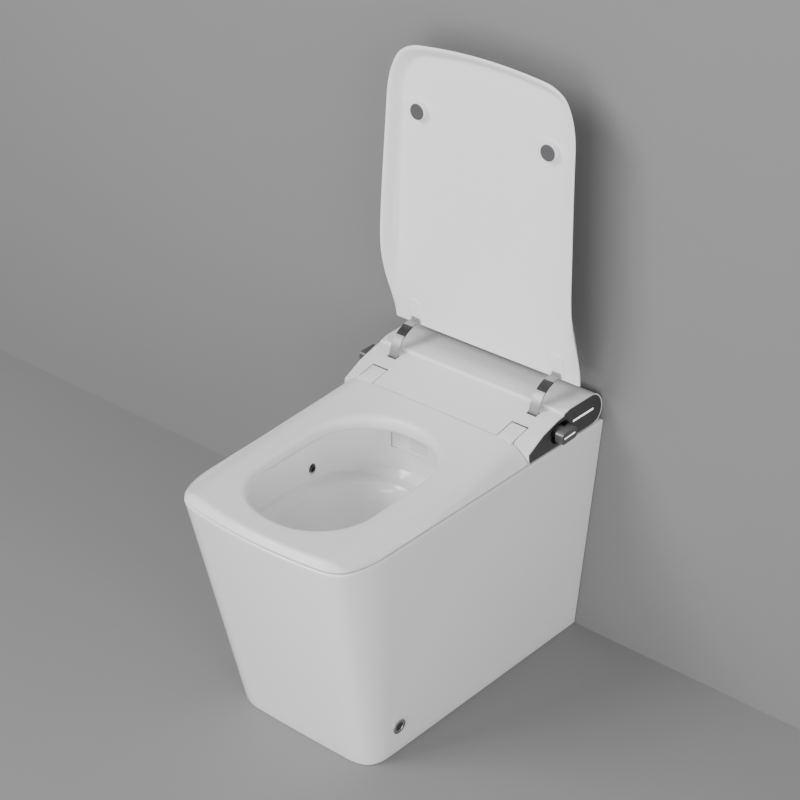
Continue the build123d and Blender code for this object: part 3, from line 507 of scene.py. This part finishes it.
@dataclass(frozen=True)
class Finish:
    """A surface finish: its colour, gloss and fine relief."""

    name: str
    colour: tuple[float, float, float]
    roughness: float
    metallic: float = 0.0
    coat: float = 0.0
    coat_roughness: float = 0.05
    colour_drift: float = 0.03
    roughness_drift: float = 0.05
    grain_scale: float = 400.0
    relief: float = 0.02
    brushed: float = 0.0
    glow: float = 0.0
    ior: float = 1.5

    def material(self) -> bpy.types.Material:
        """The finish's material, made once."""
        if self.name in bpy.data.materials:
            return bpy.data.materials[self.name]
        material = bpy.data.materials.new(self.name)
        material.use_nodes = True
        tree = material.node_tree
        shader = tree.nodes["Principled BSDF"]
        drift = tree.nodes.new("ShaderNodeGroup")
        drift.node_tree = drift_group()
        drift.inputs["Colour"].default_value = (*self.colour, 1)
        drift.inputs["Colour Drift"].default_value = self.colour_drift
        drift.inputs["Roughness"].default_value = self.roughness
        drift.inputs["Roughness Drift"].default_value = self.roughness_drift
        drift.inputs["Grain Scale"].default_value = self.grain_scale
        tree.links.new(drift.outputs["Colour"], shader.inputs["Base Color"])
        height = drift.outputs["Height"]
        if self.brushed > 0:
            streaks = tree.nodes.new("ShaderNodeGroup")
            streaks.node_tree = streak_group()
            streaks.inputs["Across"].default_value = 900.0
            gloss = tree.nodes.new("ShaderNodeMath")
            gloss.operation = "MULTIPLY_ADD"
            gloss.inputs[1].default_value = self.brushed
            tree.links.new(streaks.outputs["Streaks"], gloss.inputs[0])
            tree.links.new(drift.outputs["Roughness"], gloss.inputs[2])
            tree.links.new(gloss.outputs[0], shader.inputs["Roughness"])
            height = streaks.outputs["Streaks"]
        else:
            tree.links.new(drift.outputs["Roughness"], shader.inputs["Roughness"])
        bump = tree.nodes.new("ShaderNodeBump")
        bump.inputs["Strength"].default_value = self.relief
        bump.inputs["Distance"].default_value = 0.0004
        tree.links.new(height, bump.inputs["Height"])
        tree.links.new(bump.outputs[0], shader.inputs["Normal"])
        shader.inputs["Metallic"].default_value = self.metallic
        shader.inputs["Coat Weight"].default_value = self.coat
        shader.inputs["Coat Roughness"].default_value = self.coat_roughness
        shader.inputs["IOR"].default_value = self.ior
        if self.glow > 0:
            shader.inputs["Emission Color"].default_value = (1, 1, 1, 1)
            shader.inputs["Emission Strength"].default_value = self.glow
        return material


def painted_reflection_group() -> bpy.types.NodeTree:
    """Shader group for the mask of a painted dark reflection band round a hinge.

    The angle round the hinge's axis is ARCTAN2 of the height and depth from it, and the
    mask is 1 where that angle is nearer than half the band's width to its middle.
    """
    name = "hinge band"
    if name in bpy.data.node_groups:
        return bpy.data.node_groups[name]
    tree = bpy.data.node_groups.new(name, "ShaderNodeTree")
    for label in ("Axis Y", "Axis Z", "Middle", "Half Width"):
        group_socket(tree, label, True, "NodeSocketFloat", 0.0)
    group_socket(tree, "Painted Reflection", False, "NodeSocketFloat")
    nodes, links = tree.nodes, tree.links
    inputs, outputs = nodes.new("NodeGroupInput"), nodes.new("NodeGroupOutput")
    place = nodes.new("ShaderNodeTexCoord")
    split = nodes.new("ShaderNodeSeparateXYZ")
    links.new(place.outputs["Object"], split.inputs[0])

    def maths(operation: str, first: bpy.types.NodeSocket, second: bpy.types.NodeSocket | None) \
            -> bpy.types.NodeSocket:
        """One Math node of the chain."""
        node = nodes.new("ShaderNodeMath")
        node.operation = operation
        links.new(first, node.inputs[0])
        if second is not None:
            links.new(second, node.inputs[1])
        return node.outputs[0]

    depth = maths("SUBTRACT", split.outputs["Y"], inputs.outputs["Axis Y"])
    height = maths("SUBTRACT", split.outputs["Z"], inputs.outputs["Axis Z"])
    angle = maths("ARCTAN2", height, depth)
    away = maths("ABSOLUTE", maths("SUBTRACT", angle, inputs.outputs["Middle"]), None)
    links.new(maths("LESS_THAN", away, inputs.outputs["Half Width"]), outputs.inputs["Painted Reflection"])
    return tree


@dataclass(frozen=True)
class PaintedReflectionFinish(Finish):
    """A metal finish with one painted dark reflection band round the lid's hinge."""

    # painted dark reflection: the strap's curved middle darkened in its colour, as shade from the light
    painted_reflection_colour: tuple[float, float, float] = (0.05, 0.05, 0.052)
    painted_reflection_deg: tuple[float, float] = (103.0, 129.0)
    axis: tuple[float, float] = (0.2358, 0.4548)

    def material(self) -> bpy.types.Material:
        """The plain finish with the painted dark reflection band mixed into its colour."""
        if self.name in bpy.data.materials:
            return bpy.data.materials[self.name]
        material = super().material()
        tree = material.node_tree
        shader = tree.nodes["Principled BSDF"]
        low, high = (math.radians(edge) for edge in self.painted_reflection_deg)
        band = tree.nodes.new("ShaderNodeGroup")
        band.node_tree = painted_reflection_group()
        band.inputs["Axis Y"].default_value = self.axis[0]
        band.inputs["Axis Z"].default_value = self.axis[1]
        band.inputs["Middle"].default_value = (low + high) / 2
        band.inputs["Half Width"].default_value = (high - low) / 2
        # mixes the painted dark reflection into the strap's colour
        mix = tree.nodes.new("ShaderNodeMix")
        mix.data_type = "RGBA"
        mix.inputs["B"].default_value = (*self.painted_reflection_colour, 1)
        plain = shader.inputs["Base Color"].links[0].from_socket
        tree.links.new(band.outputs["Painted Reflection"], mix.inputs["Factor"])
        tree.links.new(plain, mix.inputs["A"])
        tree.links.new(mix.outputs["Result"], shader.inputs["Base Color"])
        return material


GLAZED_WARE = Finish(
    "glazed ceramic", (0.87, 0.87, 0.87), 0.16, coat=0.5, colour_drift=0.012,
    roughness_drift=0.06, grain_scale=60.0, relief=0.05,
)
HOUSING_PLASTIC = Finish(
    "moulded white housing", (0.82, 0.82, 0.82), 0.34, colour_drift=0.015, grain_scale=900.0,
    relief=0.05,
)
SEAT_PLASTIC = Finish(
    "moulded white ring", (0.82, 0.82, 0.82), 0.32, colour_drift=0.015, grain_scale=900.0,
    relief=0.05,
)
LID_PLASTIC = Finish(
    "moulded white lid", (0.87, 0.87, 0.87), 0.36, colour_drift=0.015, grain_scale=900.0,
    relief=0.05,
)
NOZZLE_PLASTIC = Finish("nozzle white", (0.74, 0.74, 0.74), 0.28, grain_scale=800.0, relief=0.04)
PANEL_BLACK = Finish(
    "gloss black panel", (0.042, 0.042, 0.044), 0.42, coat=0.15, colour_drift=0.10,
    roughness_drift=0.08, grain_scale=700.0, relief=0.03,
)
LIT_LINE = Finish("lit line", (0.92, 0.92, 0.92), 0.4, colour_drift=0.0, glow=1.1)
KNOB_METAL = Finish(
    "satin grey knob", (0.16, 0.16, 0.165), 0.34, metallic=0.7, brushed=0.10, relief=0.10,
)
# satin strap metal with a painted dark reflection band on its curve round the hinge
STRAP_METAL = PaintedReflectionFinish(
    "satin strap", (0.36, 0.36, 0.365), 0.36, metallic=0.6, brushed=0.08, relief=0.05,
)
BUMPER_RUBBER = Finish(
    "grey bumper", (0.085, 0.085, 0.09), 0.55, colour_drift=0.10, grain_scale=1500.0, relief=0.25,
)
SEAL_RUBBER = Finish(
    "black rubber", (0.020, 0.020, 0.021), 0.65, colour_drift=0.15, grain_scale=1500.0, relief=0.3,
)
STEEL = Finish("turned steel", (0.50, 0.50, 0.51), 0.30, metallic=1.0, brushed=0.18, relief=0.15)
INNER_PLASTIC = Finish(
    "inner grey plastic", (0.040, 0.040, 0.043), 0.52, colour_drift=0.12, grain_scale=1200.0,
    relief=0.25,
)
MOTOR_STEEL = Finish("plated can", (0.42, 0.42, 0.43), 0.38, metallic=1.0, brushed=0.12)
FOIL = Finish("heating foil", (0.62, 0.62, 0.63), 0.34, metallic=1.0, relief=0.3, grain_scale=300.0)
BOARD = Finish("green board", (0.010, 0.07, 0.022), 0.45, colour_drift=0.2, grain_scale=900.0)
BRASS = Finish("machined brass", (0.58, 0.42, 0.17), 0.28, metallic=1.0, brushed=0.15)
SENSOR_CHROME = Finish("sensor ring chrome", (0.62, 0.62, 0.63), 0.10, metallic=1.0)
SENSOR_LENS = Finish("sensor lens", (0.010, 0.010, 0.011), 0.08, coat=0.8, colour_drift=0.2)

SLOT_FINISH = {
    "ceramic": GLAZED_WARE,
    "housing_white": HOUSING_PLASTIC,
    "seat_white": SEAT_PLASTIC,
    "nozzle_white": NOZZLE_PLASTIC,
    "panel_black": PANEL_BLACK,
    "light_white": LIT_LINE,
    "knob_grey": KNOB_METAL,
    "strap_metal": STRAP_METAL,
    "buffer_rubber": BUMPER_RUBBER,
    "seal_rubber": SEAL_RUBBER,
    "steel": STEEL,
    "inner_plastic": INNER_PLASTIC,
    "motor_steel": MOTOR_STEEL,
    "foil": FOIL,
    "board_green": BOARD,
    "brass": BRASS,
    "sensor_ring": SENSOR_CHROME,
    "sensor_lens": SENSOR_LENS,
}


def dress(
    piece: bpy.types.Object, finish: Finish, body: Body, slot: str, *nodes: str,
) -> bpy.types.Object:
    """Give a piece its finish and its body, and hide what it stands for.

    Args:
        piece: the piece.
        finish: its finish.
        body: the body it rides on.
        slot: the record's material slot; not used.
        nodes: CAD nodes that it replaces.

    Returns:
        The same piece.
    """
    piece.data.materials.clear()
    piece.data.materials.append(finish.material())
    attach(piece, body.value)
    if nodes:
        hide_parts(*nodes)
    log.info("%s: %d faces on %s", piece.name, len(piece.data.polygons), body.value)
    return piece


def dress_frame() -> None:
    """Give every CAD node the finish of its material slot."""
    for entry in frame["record"]["subparts"]:
        node = frame["nodes"][entry["node"]]
        node.data.materials.clear()
        node.data.materials.append(SLOT_FINISH[entry["material_slot"]].material())
        log.info("%s dressed as %s", entry["node"], entry["material_slot"])


# ---------------------------------------------------------------- pan


REAR_HALF = 195.0
WALL = 304.0
FLARE = 0.0344
RIM = 418.0


def rim_half(y: float) -> float:
    """Half width of the rim at y."""
    return REAR_HALF + FLARE * (y - WALL)


RIM_OUTLINE = Outline(
    nose=-304.0, nose_half=120.0, nose_drop=8.5, corner=(160.5, -274.0), side=-205.0,
    side_half=rim_half(-205.0), rear=WALL, rear_half=REAR_HALF,
)
FOOT_OUTLINE = Outline(
    nose=-207.5, nose_half=92.0, nose_drop=0.9, corner=(131.5, -193.5), side=-150.0,
    side_half=142.5, rear=WALL, rear_half=162.0,
)


@dataclass
class CeramicPan:
    """The one-piece ware: skirted outside, deck, bowl and the trap underneath."""

    wall: float = 12.0
    deck: float = 23.0
    rim_radius: float = 3.2
    foot_radius: float = 3.0
    bowl_half: float = 113.0
    bowl_front: float = -262.0
    bowl_rear: float = 88.0
    bowl_corner: float = 96.0
    rear_fall: float = 30.0
    notch: tuple[float, float, float] = (56.0, 77.0, 373.5)
    bay: tuple[float, float, float] = (166.0, 128.0, 287.0)
    jet: tuple[float, float, float] = (-44.0, 369.0, 6.1)
    sensor_bore: float = 9.2
    trap_radius: float = 26.0
    trap_wall: float = 9.0
    trap_bend: float = 40.0
    trap_path: tuple[tuple[float, float], ...] = (
        (-52, 214), (12, 150), (96, 262), (150, 118), (0, 88), (0, 8),
    )
    levels: tuple[tuple[float, float, float, float], ...] = field(
        default=(  # height, how far in, how far back, share of the fall towards the rear
            (414.5, -0.6, 0, 0), (408, 0, 0, 0), (390, 0.3, 0, 0), (372, 0.6, 0, 0.15),
            (361, 1.2, 0, 0.9), (355.5, 3.2, 0, 1), (352.5, 7.5, 0, 1), (349.5, 14, 0, 0.9),
            (346.0, 21, 0, 0.75), (340.0, 26.5, 1, 0.5), (328, 32, 3, 0.3), (304, 40, 6, 0.1),
            (280, 46, 10, 0), (250, 57, 15, 0), (220, 72, 22, 0), (200, 82, 28, 0),
        )
    )

    def skirt(self, height: float, inset: float) -> np.ndarray:
        """Outer loop at a height: the foot's and the rim's outlines mixed in a line."""
        share = height / RIM
        return FOOT_OUTLINE.loop(inset) * (1 - share) + RIM_OUTLINE.loop(inset) * share

    def bowl_loop(self, shrink: float, shift: float) -> np.ndarray:
        """Loop of the bowl, shrunk and moved back."""
        half = self.bowl_half - shrink
        radius = min(self.bowl_corner - 0.6 * shrink, half - 2)
        front = self.bowl_front + shrink * 1.25 + shift
        rear = self.bowl_rear - shrink * 1.25 + shift
        return round_box_loop(half, front, rear, radius)

    def rows(self) -> np.ndarray:
        """All loops from the foot, over the rim and into the bowl, and back underneath."""
        loops: list[np.ndarray] = []
        heights: list[np.ndarray | float] = []

        def put(loop: np.ndarray, height: np.ndarray | float) -> None:
            """Add one loop at a height."""
            loops.append(loop)
            heights.append(height)

        outside = (
            (188.0, 84, 30), (220.0, 72, 22), (268.0, 46, 10), (326.0, 20, 0), (352.0, 0, 0),
        )
        for z, shrink, shift in outside:
            put(self.bowl_loop(shrink - self.wall, shift), z)
        under = RIM - self.deck
        put(self.bowl_loop(-self.wall, 0), under)
        put(self.skirt(under, self.wall + 3), under)
        put(self.skirt(0, self.wall + 3), 0.0)
        for turn in np.linspace(0, math.pi / 2, 4):
            reach = self.foot_radius * (1 - math.sin(turn))
            put(self.skirt(0, reach), self.foot_radius * (1 - math.cos(turn)))
        for z in np.linspace(12, RIM - 12, 24):
            put(self.skirt(z, 0), z)
        for turn in np.linspace(0, math.pi / 2, 6):
            reach = self.rim_radius * (1 - math.cos(turn))
            z = RIM - self.rim_radius * (1 - math.sin(turn))
            put(self.skirt(z, reach), z)
        lip = self.bowl_loop(-5.0, 0)
        edge = self.skirt(RIM, 12)
        for share in (0.0, 0.5, 1.0):
            put(edge * (1 - share) + lip * share, RIM)
        put(self.bowl_loop(-2.4, 0), RIM - 1.0)
        for z, shrink, shift, fall in self.levels:
            loop = self.bowl_loop(shrink, shift)
            drop = self.rear_fall * fall * smooth_step(loop[:, 1], -70.0, 80.0)
            put(loop, z - drop)
        return flat_rows(loops, heights)

    def trap_rows(self) -> np.ndarray:
        """Round sections carried along the trap's rounded path, in the YZ plane."""
        path = np.array(self.trap_path, float)
        line = [path[0]]
        for before, at, after in zip(path, path[1:], path[2:]):
            u, v = at - before, after - at
            u, v = u / np.linalg.norm(u), v / np.linalg.norm(v)
            reach = self.trap_bend * math.tan(math.acos(np.clip(u @ v, -1, 1)) / 2)
            t = np.linspace(0, 1, 9)[:, None]
            start, end = at - u * reach, at + v * reach
            line.extend((1 - t) ** 2 * start + 2 * t * (1 - t) * at + t * t * end)
        line.append(path[-1])
        points = np.array(line)
        along = np.gradient(points, axis=0)
        along /= np.linalg.norm(along, axis=1)[:, None]
        side = np.column_stack((-along[:, 1], along[:, 0]))
        angle = np.linspace(0, 2 * math.pi, 40, endpoint=False)

        def tube(radius: float) -> np.ndarray:
            """Loops of one radius along the path."""
            x = np.broadcast_to(radius * np.cos(angle), (len(points), len(angle)))
            yz = points[:, None] + radius * np.sin(angle)[None, :, None] * side[:, None]
            return np.dstack((x, yz))

        return np.concatenate((tube(self.trap_radius + self.trap_wall), tube(self.trap_radius)[::-1]))

    def jet_scoop(self) -> bpy.types.Object:
        """Slanted scoop in the bowl's left wall, deepest at the jet.

        Its sections are ellipses that shrink and move forward as they go into the wall.

        Returns:
            The piece to cut with.
        """
        y, z, radius = self.jet
        turn = np.linspace(0, 2 * math.pi, 40, endpoint=False)
        rows = []
        sections = (  # place across, size in radii, how far back
            (-96.0, 2.2, -3.0), (-110.0, 1.9, -2.0), (-114.0, 1.5, 0.0), (-118.0, 1.1, 2.0),
            (-140.0, 1.0, 2.5),
        )
        for x, grow, back in sections:
            rows.append(np.column_stack((
                np.full_like(turn, x), y + back + radius * grow * 0.8 * np.cos(turn),
                z + radius * grow * np.sin(turn),
            )))
        return skin_rows("jet_scoop", np.stack(rows))

    def build(self) -> None:
        """Make the ware and its trap."""
        pan = skin_rows("ceramic_ware", self.rows(), smooth_deg=50)
        half, front, rear = self.bay
        cut(pan, box_piece((-half, front, RIM - 2 * self.deck), (half, rear, RIM + 20)))
        half, front, low = self.notch
        cut(pan, box_piece((-half, front, low), (half, self.bay[1] + 2, RIM + 20)))
        cut(pan, self.jet_scoop())
        turn = np.linspace(0, 2 * math.pi, 32, endpoint=False)
        low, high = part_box("foot_sensor_lens")
        centre = (Vector(low) + Vector(high)) / 2 / MM
        ring = np.column_stack((
            centre.y + self.sensor_bore * np.cos(turn), centre.z + self.sensor_bore * np.sin(turn),
        ))
        bore = np.stack([np.column_stack((np.full_like(turn, x), ring)) for x in (110.0, 170.0)])
        cut(pan, skin_rows("sensor_bore", bore))
        dress(pan, GLAZED_WARE, Body.TOILET, "ceramic", "ceramic_pan")
        trap = skin_rows("trap", self.trap_rows(), closed=True)
        dress(trap, GLAZED_WARE, Body.TOILET, "ceramic")


# ---------------------------------------------------------------- ring


@dataclass
class SeatRing:
    """The heated ring: soft outer bevel, dished top and a rolled edge round the hole."""

    under: float = 420.5
    rear: float = 113.7
    hole_half: float = 106.0
    hole_front: float = -251.0
    hole_rear: float = 58.0
    hole_corner: float = 98.0
    tab_x: tuple[float, float] = (126.0, 155.0)
    crown: tuple[tuple[float, float], ...] = (
        (-296, 431.5), (-190, 435.5), (0, 441), (60, 444.5), (113.7, 449.2),
    )
    bevel: tuple[tuple[float, float], ...] = (
        (4.0, 420.5), (2.0, 420.7), (1.5, 421.4), (1.9, 422.4), (3.0, 423.4), (4.6, 424.8),
        (6.2, 426.7), (8.0, 428.6), (10.0, 430.6), (12.5, 433.1), (16.0, 437.0), (22.0, 444.0),
    )

    def top(self, points: np.ndarray) -> np.ndarray:
        """Height of the top: the crown's curve, less where the sides fall away."""
        x, y = np.abs(points[:, 0]), points[:, 1]
        crown = spline_through(self.crown, y)
        side = 446.5 - 0.45 * (x - 157) + 0.06 * (y - self.rear)
        return soft_min(crown, side, 5.0)

    def rows(self) -> np.ndarray:
        """Loops from the outer lower edge over the top, down the hole and back under."""
        loops: list[np.ndarray] = []
        heights: list[np.ndarray] = []
        at_rear = rear_share()
        steps = len(self.bevel) - 1
        for number, (inset, z) in enumerate(self.bevel):
            loop = RIM_OUTLINE.loop(inset, self.rear)
            top = self.top(loop)
            bevel = soft_min(top, np.full_like(top, z), 1.2) if number > 3 else np.full_like(top, z)
            share = number / steps
            wall = self.under * (1 - share) + top * share
            loops.append(loop)
            heights.append(bevel * (1 - at_rear) + wall * at_rear)
        outer = loops[-1]
        roll = ((11.0, 0.0), (8.0, 0.5), (5.4, 1.7), (3.2, 3.5), (1.5, 6.0), (0.5, 9.2), (0.0, 13.0))
        inner = self.hole(roll[0][0])
        for share in np.linspace(0, 1, 19)[1:-1]:
            loop = outer * (1 - share) + inner * share
            top = self.top(loop)
            loops.append(loop)
            heights.append(top)
        for grow, fall in roll:
            loop = self.hole(grow)
            loops.append(loop)
            heights.append(self.top(loop) - fall)
        for grow, z in ((0.4, 424.0), (1.2, 421.4), (2.4, self.under)):
            loop = self.hole(grow)
            loops.append(loop)
            heights.append(np.full(len(loop), z))
        return flat_rows(loops, heights)

    def hole(self, grow: float) -> np.ndarray:
        """Loop of the hole, grown all round."""
        return round_box_loop(
            self.hole_half + grow, self.hole_front - grow, self.hole_rear + grow,
            self.hole_corner + grow,
        )

    def tab(self, side: int) -> bpy.types.Object:
        """One hinge tab: its side profile carried across, with its ends drawn in.

        Args:
            side: 1 for the right, -1 for the left.

        Returns:
            The new piece.
        """
        axis = (146.0, 447.0)
        turn = np.radians(np.linspace(-70, -200, 14))
        knuckle = [(axis[0] + 7 * math.cos(t), axis[1] + 7 * math.sin(t)) for t in turn]
        profile = np.array([
            (self.rear - 3, 447.0), (self.rear, 449.25), (128.0, 451.6), (142.0, 454.2),
            (150.0, 455.4), (152.6, 455.5), (153.4, 454.8), (153.5, 452.0), *knuckle,
            (self.rear + 8, 444.0), (self.rear - 3, 438.0),
        ])
        middle = profile.mean(0)
        low, high = self.tab_x
        rows = []
        ends = (
            (low, 0.9), (low + 0.3, 0.35), (low + 0.9, 0),
            (high - 0.9, 0), (high - 0.3, 0.35), (high, 0.9),
        )
        for x, draw in ends:
            away = profile - middle
            reach = np.linalg.norm(away, axis=1)[:, None]
            yz = middle + away * (1 - draw / reach)
            rows.append(np.column_stack((np.full(len(yz), side * x), yz)))
        return skin_rows(f"seat_tab_{'right' if side > 0 else 'left'}", np.stack(rows), smooth_deg=30)

    def build(self) -> None:
        """Make the ring and its two hinge tabs."""
        ring = skin_rows("seat_ring", self.rows(), closed=True, smooth_deg=50)
        dress(ring, SEAT_PLASTIC, Body.SEAT, "seat_white", "seat_base", "seat_top")
        for side in (1, -1):
            dress(self.tab(side), SEAT_PLASTIC, Body.SEAT, "seat_white")


# ---------------------------------------------------------------- lid


@dataclass
class Lid:
    """The raised lid: a shallow tray with a curled lip, on two straps."""

    top: float = 996.0
    bottom: float = 497.0
    lip_width: float = 3.0
    dish: float = 20.0
    knee_y: float = 106.0
    hinge: tuple[float, float] = (235.8, 454.8)
    lip: tuple[tuple[float, float], ...] = (
        (497, 247), (519, 243.4), (546, 235), (575.5, 224.5), (608, 214.8), (631, 210),
        (659, 207.4), (720, 207.8), (800, 210.0), (900, 213.6), (997, 217),
    )
    face: tuple[tuple[float, float], ...] = (
        (496, 248.5), (516, 245), (545, 240.5), (576, 235.5), (630, 232), (700, 231),
        (880, 231.5), (1000, 235),
    )
    back: tuple[tuple[float, float], ...] = ((497, 255), (560, 253.5), (700, 249), (880, 245), (997, 241))
    bumper: tuple[float, float, float, float] = (123.0, 221.0, 879.6, 13.0)
    pad: tuple[float, float, float, float] = (141.15, 523.0, 13.5, 21.0)

    def outline(self) -> Outline:
        """The lid's outline with its height turned over, so its top end is the nose."""
        place = self.hinge[1] + self.hinge[0]
        return Outline(
            nose=-self.top, nose_half=116.0, nose_drop=7.5, corner=(159.0, -(place + 274)),
            side=-(place + 205), side_half=rim_half(-205) - 0.8, rear=-self.bottom,
            rear_half=184.4, rear_radius=3.0,
            knee=(rim_half(self.knee_y) - 0.8, -(place - self.knee_y)),
        )

    def rows(self) -> np.ndarray:
        """Loops from the middle of the face, over the lip and round the back."""
        outline = self.outline()
        rows = []

        def put(loop: np.ndarray, depth: np.ndarray) -> None:
            """Add one loop: X and height from the outline, Y from the depth."""
            rows.append(np.column_stack((loop[:, 0], depth, -loop[:, 1])))

        def read(curve: tuple[tuple[float, float], ...], loop: np.ndarray) -> np.ndarray:
            """Depth of a side curve at the loop's heights."""
            return spline_through(curve, -loop[:, 1])

        inner = outline.loop(self.dish)
        middle = np.array((0.0, inner[:, 1].mean()))
        for share in (0.03, 0.15, 0.3, 0.45, 0.6, 0.72, 0.82, 0.9, 0.96, 1.0):
            loop = middle + (inner - middle) * share
            put(loop, read(self.face, loop))
        # the dished edge eases from the face up to the lip
        for share in np.linspace(1, 0, 15)[1:]:
            loop = outline.loop(self.lip_width + (self.dish - self.lip_width) * share)
            climb = share * share * (3 - 2 * share)
            lip, face = read(self.lip, loop), read(self.face, loop)
            put(loop, lip + (face - lip) * climb)
        for inset, off in ((2.2, -0.15), (1.4, -0.1), (0.7, 0.2), (0.2, 0.8), (0.0, 1.6)):
            loop = outline.loop(inset)
            put(loop, read(self.lip, loop) + off)
        # the outside leans in at about 45 degrees until it meets the back
        for inset in (1.2, 4, 8, 13, 18, 23, 28, 32, 36, 40, 44, 50):
            loop = outline.loop(inset)
            lip, back = read(self.lip, outline.loop(0.0)), read(self.back, loop)
            put(loop, soft_min(lip + 1.6 + 1.06 * inset, back, 5.0))
        outer = outline.loop(50.0)
        middle = np.array((0.0, outer[:, 1].mean()))
        for share in (0.9, 0.75, 0.5, 0.25, 0.03):
            loop = middle + (outer - middle) * share
            put(loop, read(self.back, loop))
        return np.stack(rows)

    def raised_pad(self, side: int) -> bpy.types.Object:
        """Low pad over the end of a strap: a round-cornered loop that follows the face."""
        x, z, half, tall = self.pad
        rows = []
        edge = (
            (0.0, -1.2), (0.0, 0.3), (0.15, 0.9), (0.6, 1.5), (1.4, 1.9), (2.6, 2.0), (8.0, 2.0),
        )
        for inset, proud in edge:
            low, high = -z - tall + inset, -z + tall - inset
            loop = round_box_loop(half - inset, low, high, max(10 - inset, 2.0))
            depth = spline_through(self.face, -loop[:, 1]) - proud
            rows.append(np.column_stack((loop[:, 0] + side * x, depth, -loop[:, 1])))
        return skin_rows(f"lid_pad_{'right' if side > 0 else 'left'}", np.stack(rows))

    def turned(
        self, name: str, side: int, profile: Sequence[tuple[float, float]],
    ) -> bpy.types.Object:
        """A round piece turned about a bumper's axis.

        Args:
            name: name of the piece.
            side: 1 for the right, -1 for the left.
            profile: (radius, depth) pairs from the back to the front.

        Returns:
            The new piece.
        """
        x, _, z, _ = self.bumper
        turn = np.linspace(0, 2 * math.pi, 48, endpoint=False)
        rows = np.stack([
            np.column_stack((
                side * x + radius * np.cos(turn), np.full_like(turn, depth), z + radius * np.sin(turn),
            ))
            for radius, depth in profile
        ])
        return skin_rows(name, rows, smooth_deg=30)

    def build(self) -> None:
        """Make the lid, its pads, its bosses and its bumpers."""
        lid = skin_rows("lid_panel", self.rows(), smooth_deg=50)
        dress(lid, LID_PLASTIC, Body.LID, "housing_white", "lid_shell")
        _, face, _, radius = self.bumper
        for side, label in ((1, "right"), (-1, "left")):
            dress(self.raised_pad(side), LID_PLASTIC, Body.LID, "housing_white")
            boss = self.turned(f"lid_boss_{label}", side, (
                (radius + 1.5, 233.5), (radius + 1.5, face + 2.2), (radius + 1.1, face + 1.7),
                (radius + 0.4, face + 1.5), (4.0, face + 1.5),
            ))
            dress(boss, LID_PLASTIC, Body.LID, "housing_white")
            bumper = self.turned(f"lid_bumper_{label}", side, (
                (3.4, face + 6), (3.4, face + 1.5), (radius - 0.3, face + 1.5),
                (radius, face + 1.2), (radius - 0.1, face + 0.7), (radius - 0.9, face + 0.2),
                (radius - 2.0, face), (radius - 4.0, face + 0.25), (2.0, face + 0.3),
            ))
            nodes = ("lid_bumpers",) if side > 0 else ()
            dress(bumper, BUMPER_RUBBER, Body.LID, "buffer_rubber", *nodes)


# ---------------------------------------------------------------- stage, lights and camera


def plain_material(name: str, colour: float, roughness: float) -> bpy.types.Material:
    """Matte paint for the stage, with a faint mottling."""
    return Finish(
        name, (colour, colour, colour), roughness, colour_drift=0.02, grain_scale=90.0,
        relief=0.01,
    ).material()


@dataclass
class Stage:
    """Floor and wall of a plain studio corner."""

    floor_grey: float = 0.245
    wall_grey: float = 0.21
    reach: float = 5000.0

    def slab(self, name: str, low: Sequence[float], high: Sequence[float], grey: float) -> None:
        """One thick slab of the stage."""
        piece = box_piece(low, high, name)
        piece.data.materials.append(plain_material(f"{name} paint", grey, 0.75))

    def build(self) -> None:
        """Make the floor and the wall behind the pan."""
        wall = CAD_BOX[1][1] / MM + 0.6
        r = self.reach
        self.slab("floor", (-r, -r, -60.0), (r, wall + 40, -0.1), self.floor_grey)
        self.slab("wall", (-r, wall, -0.1), (r, wall + 40, r), self.wall_grey)


@dataclass
class Studio:
    """Camera and soft lights."""

    lens: float = 87.5
    location: tuple[float, float, float] = (1.6326, -1.9273, 2.0082)
    azimuth: float = 39.77
    elevation: float = 30.56

    def camera(self) -> None:
        """Camera held level, looking down at the pan from its front right."""
        data = bpy.data.cameras.new("camera")
        data.lens = self.lens
        data.sensor_width = 36.0
        data.clip_end = 100.0
        camera = bpy.data.objects.new("camera", data)
        az, el = math.radians(self.azimuth), math.radians(self.elevation)
        back = Vector((math.sin(az) * math.cos(el), -math.cos(az) * math.cos(el), math.sin(el)))
        camera.location = self.location
        camera.rotation_euler = (-back).to_track_quat("-Z", "Y").to_euler()
        bpy.context.scene.collection.objects.link(camera)
        bpy.context.scene.camera = camera

    def area(
        self, name: str, location: Sequence[float], target: Sequence[float], size: float,
        power: float,
    ) -> None:
        """One square soft light aimed at a point."""
        data = bpy.data.lights.new(name, "AREA")
        data.size = size
        data.energy = power
        lamp = bpy.data.objects.new(name, data)
        lamp.location = location
        aim = Vector(target) - Vector(location)
        lamp.rotation_euler = aim.to_track_quat("-Z", "Y").to_euler()
        bpy.context.scene.collection.objects.link(lamp)

    def build(self) -> None:
        """Add the camera, the lights and a dim even surround."""
        self.camera()
        self.area("key", (-1.5, -2.7, 3.1), (0.0, 0.0, 0.45), 1.8, 128.0)
        self.area("front", (0.6, -3.8, 1.0), (0.0, 0.0, 0.55), 2.6, 98.0)
        self.area("side", (3.6, -1.6, 1.3), (0.0, 0.0, 0.35), 2.4, 74.0)
        world = bpy.data.worlds.new("surround")
        world.use_nodes = True
        world.node_tree.nodes["Background"].inputs["Color"].default_value = (1, 1, 1, 1)
        world.node_tree.nodes["Background"].inputs["Strength"].default_value = 0.42
        bpy.context.scene.world = world


def main() -> None:
    """Build every piece in order."""
    logging.basicConfig(level=logging.INFO)
    dress_frame()
    for part in (CeramicPan(), SeatRing(), Lid(), Stage(), Studio()):
        part.build()
        log.info("%s built", type(part).__name__)


if __name__ == "__main__":
    main()
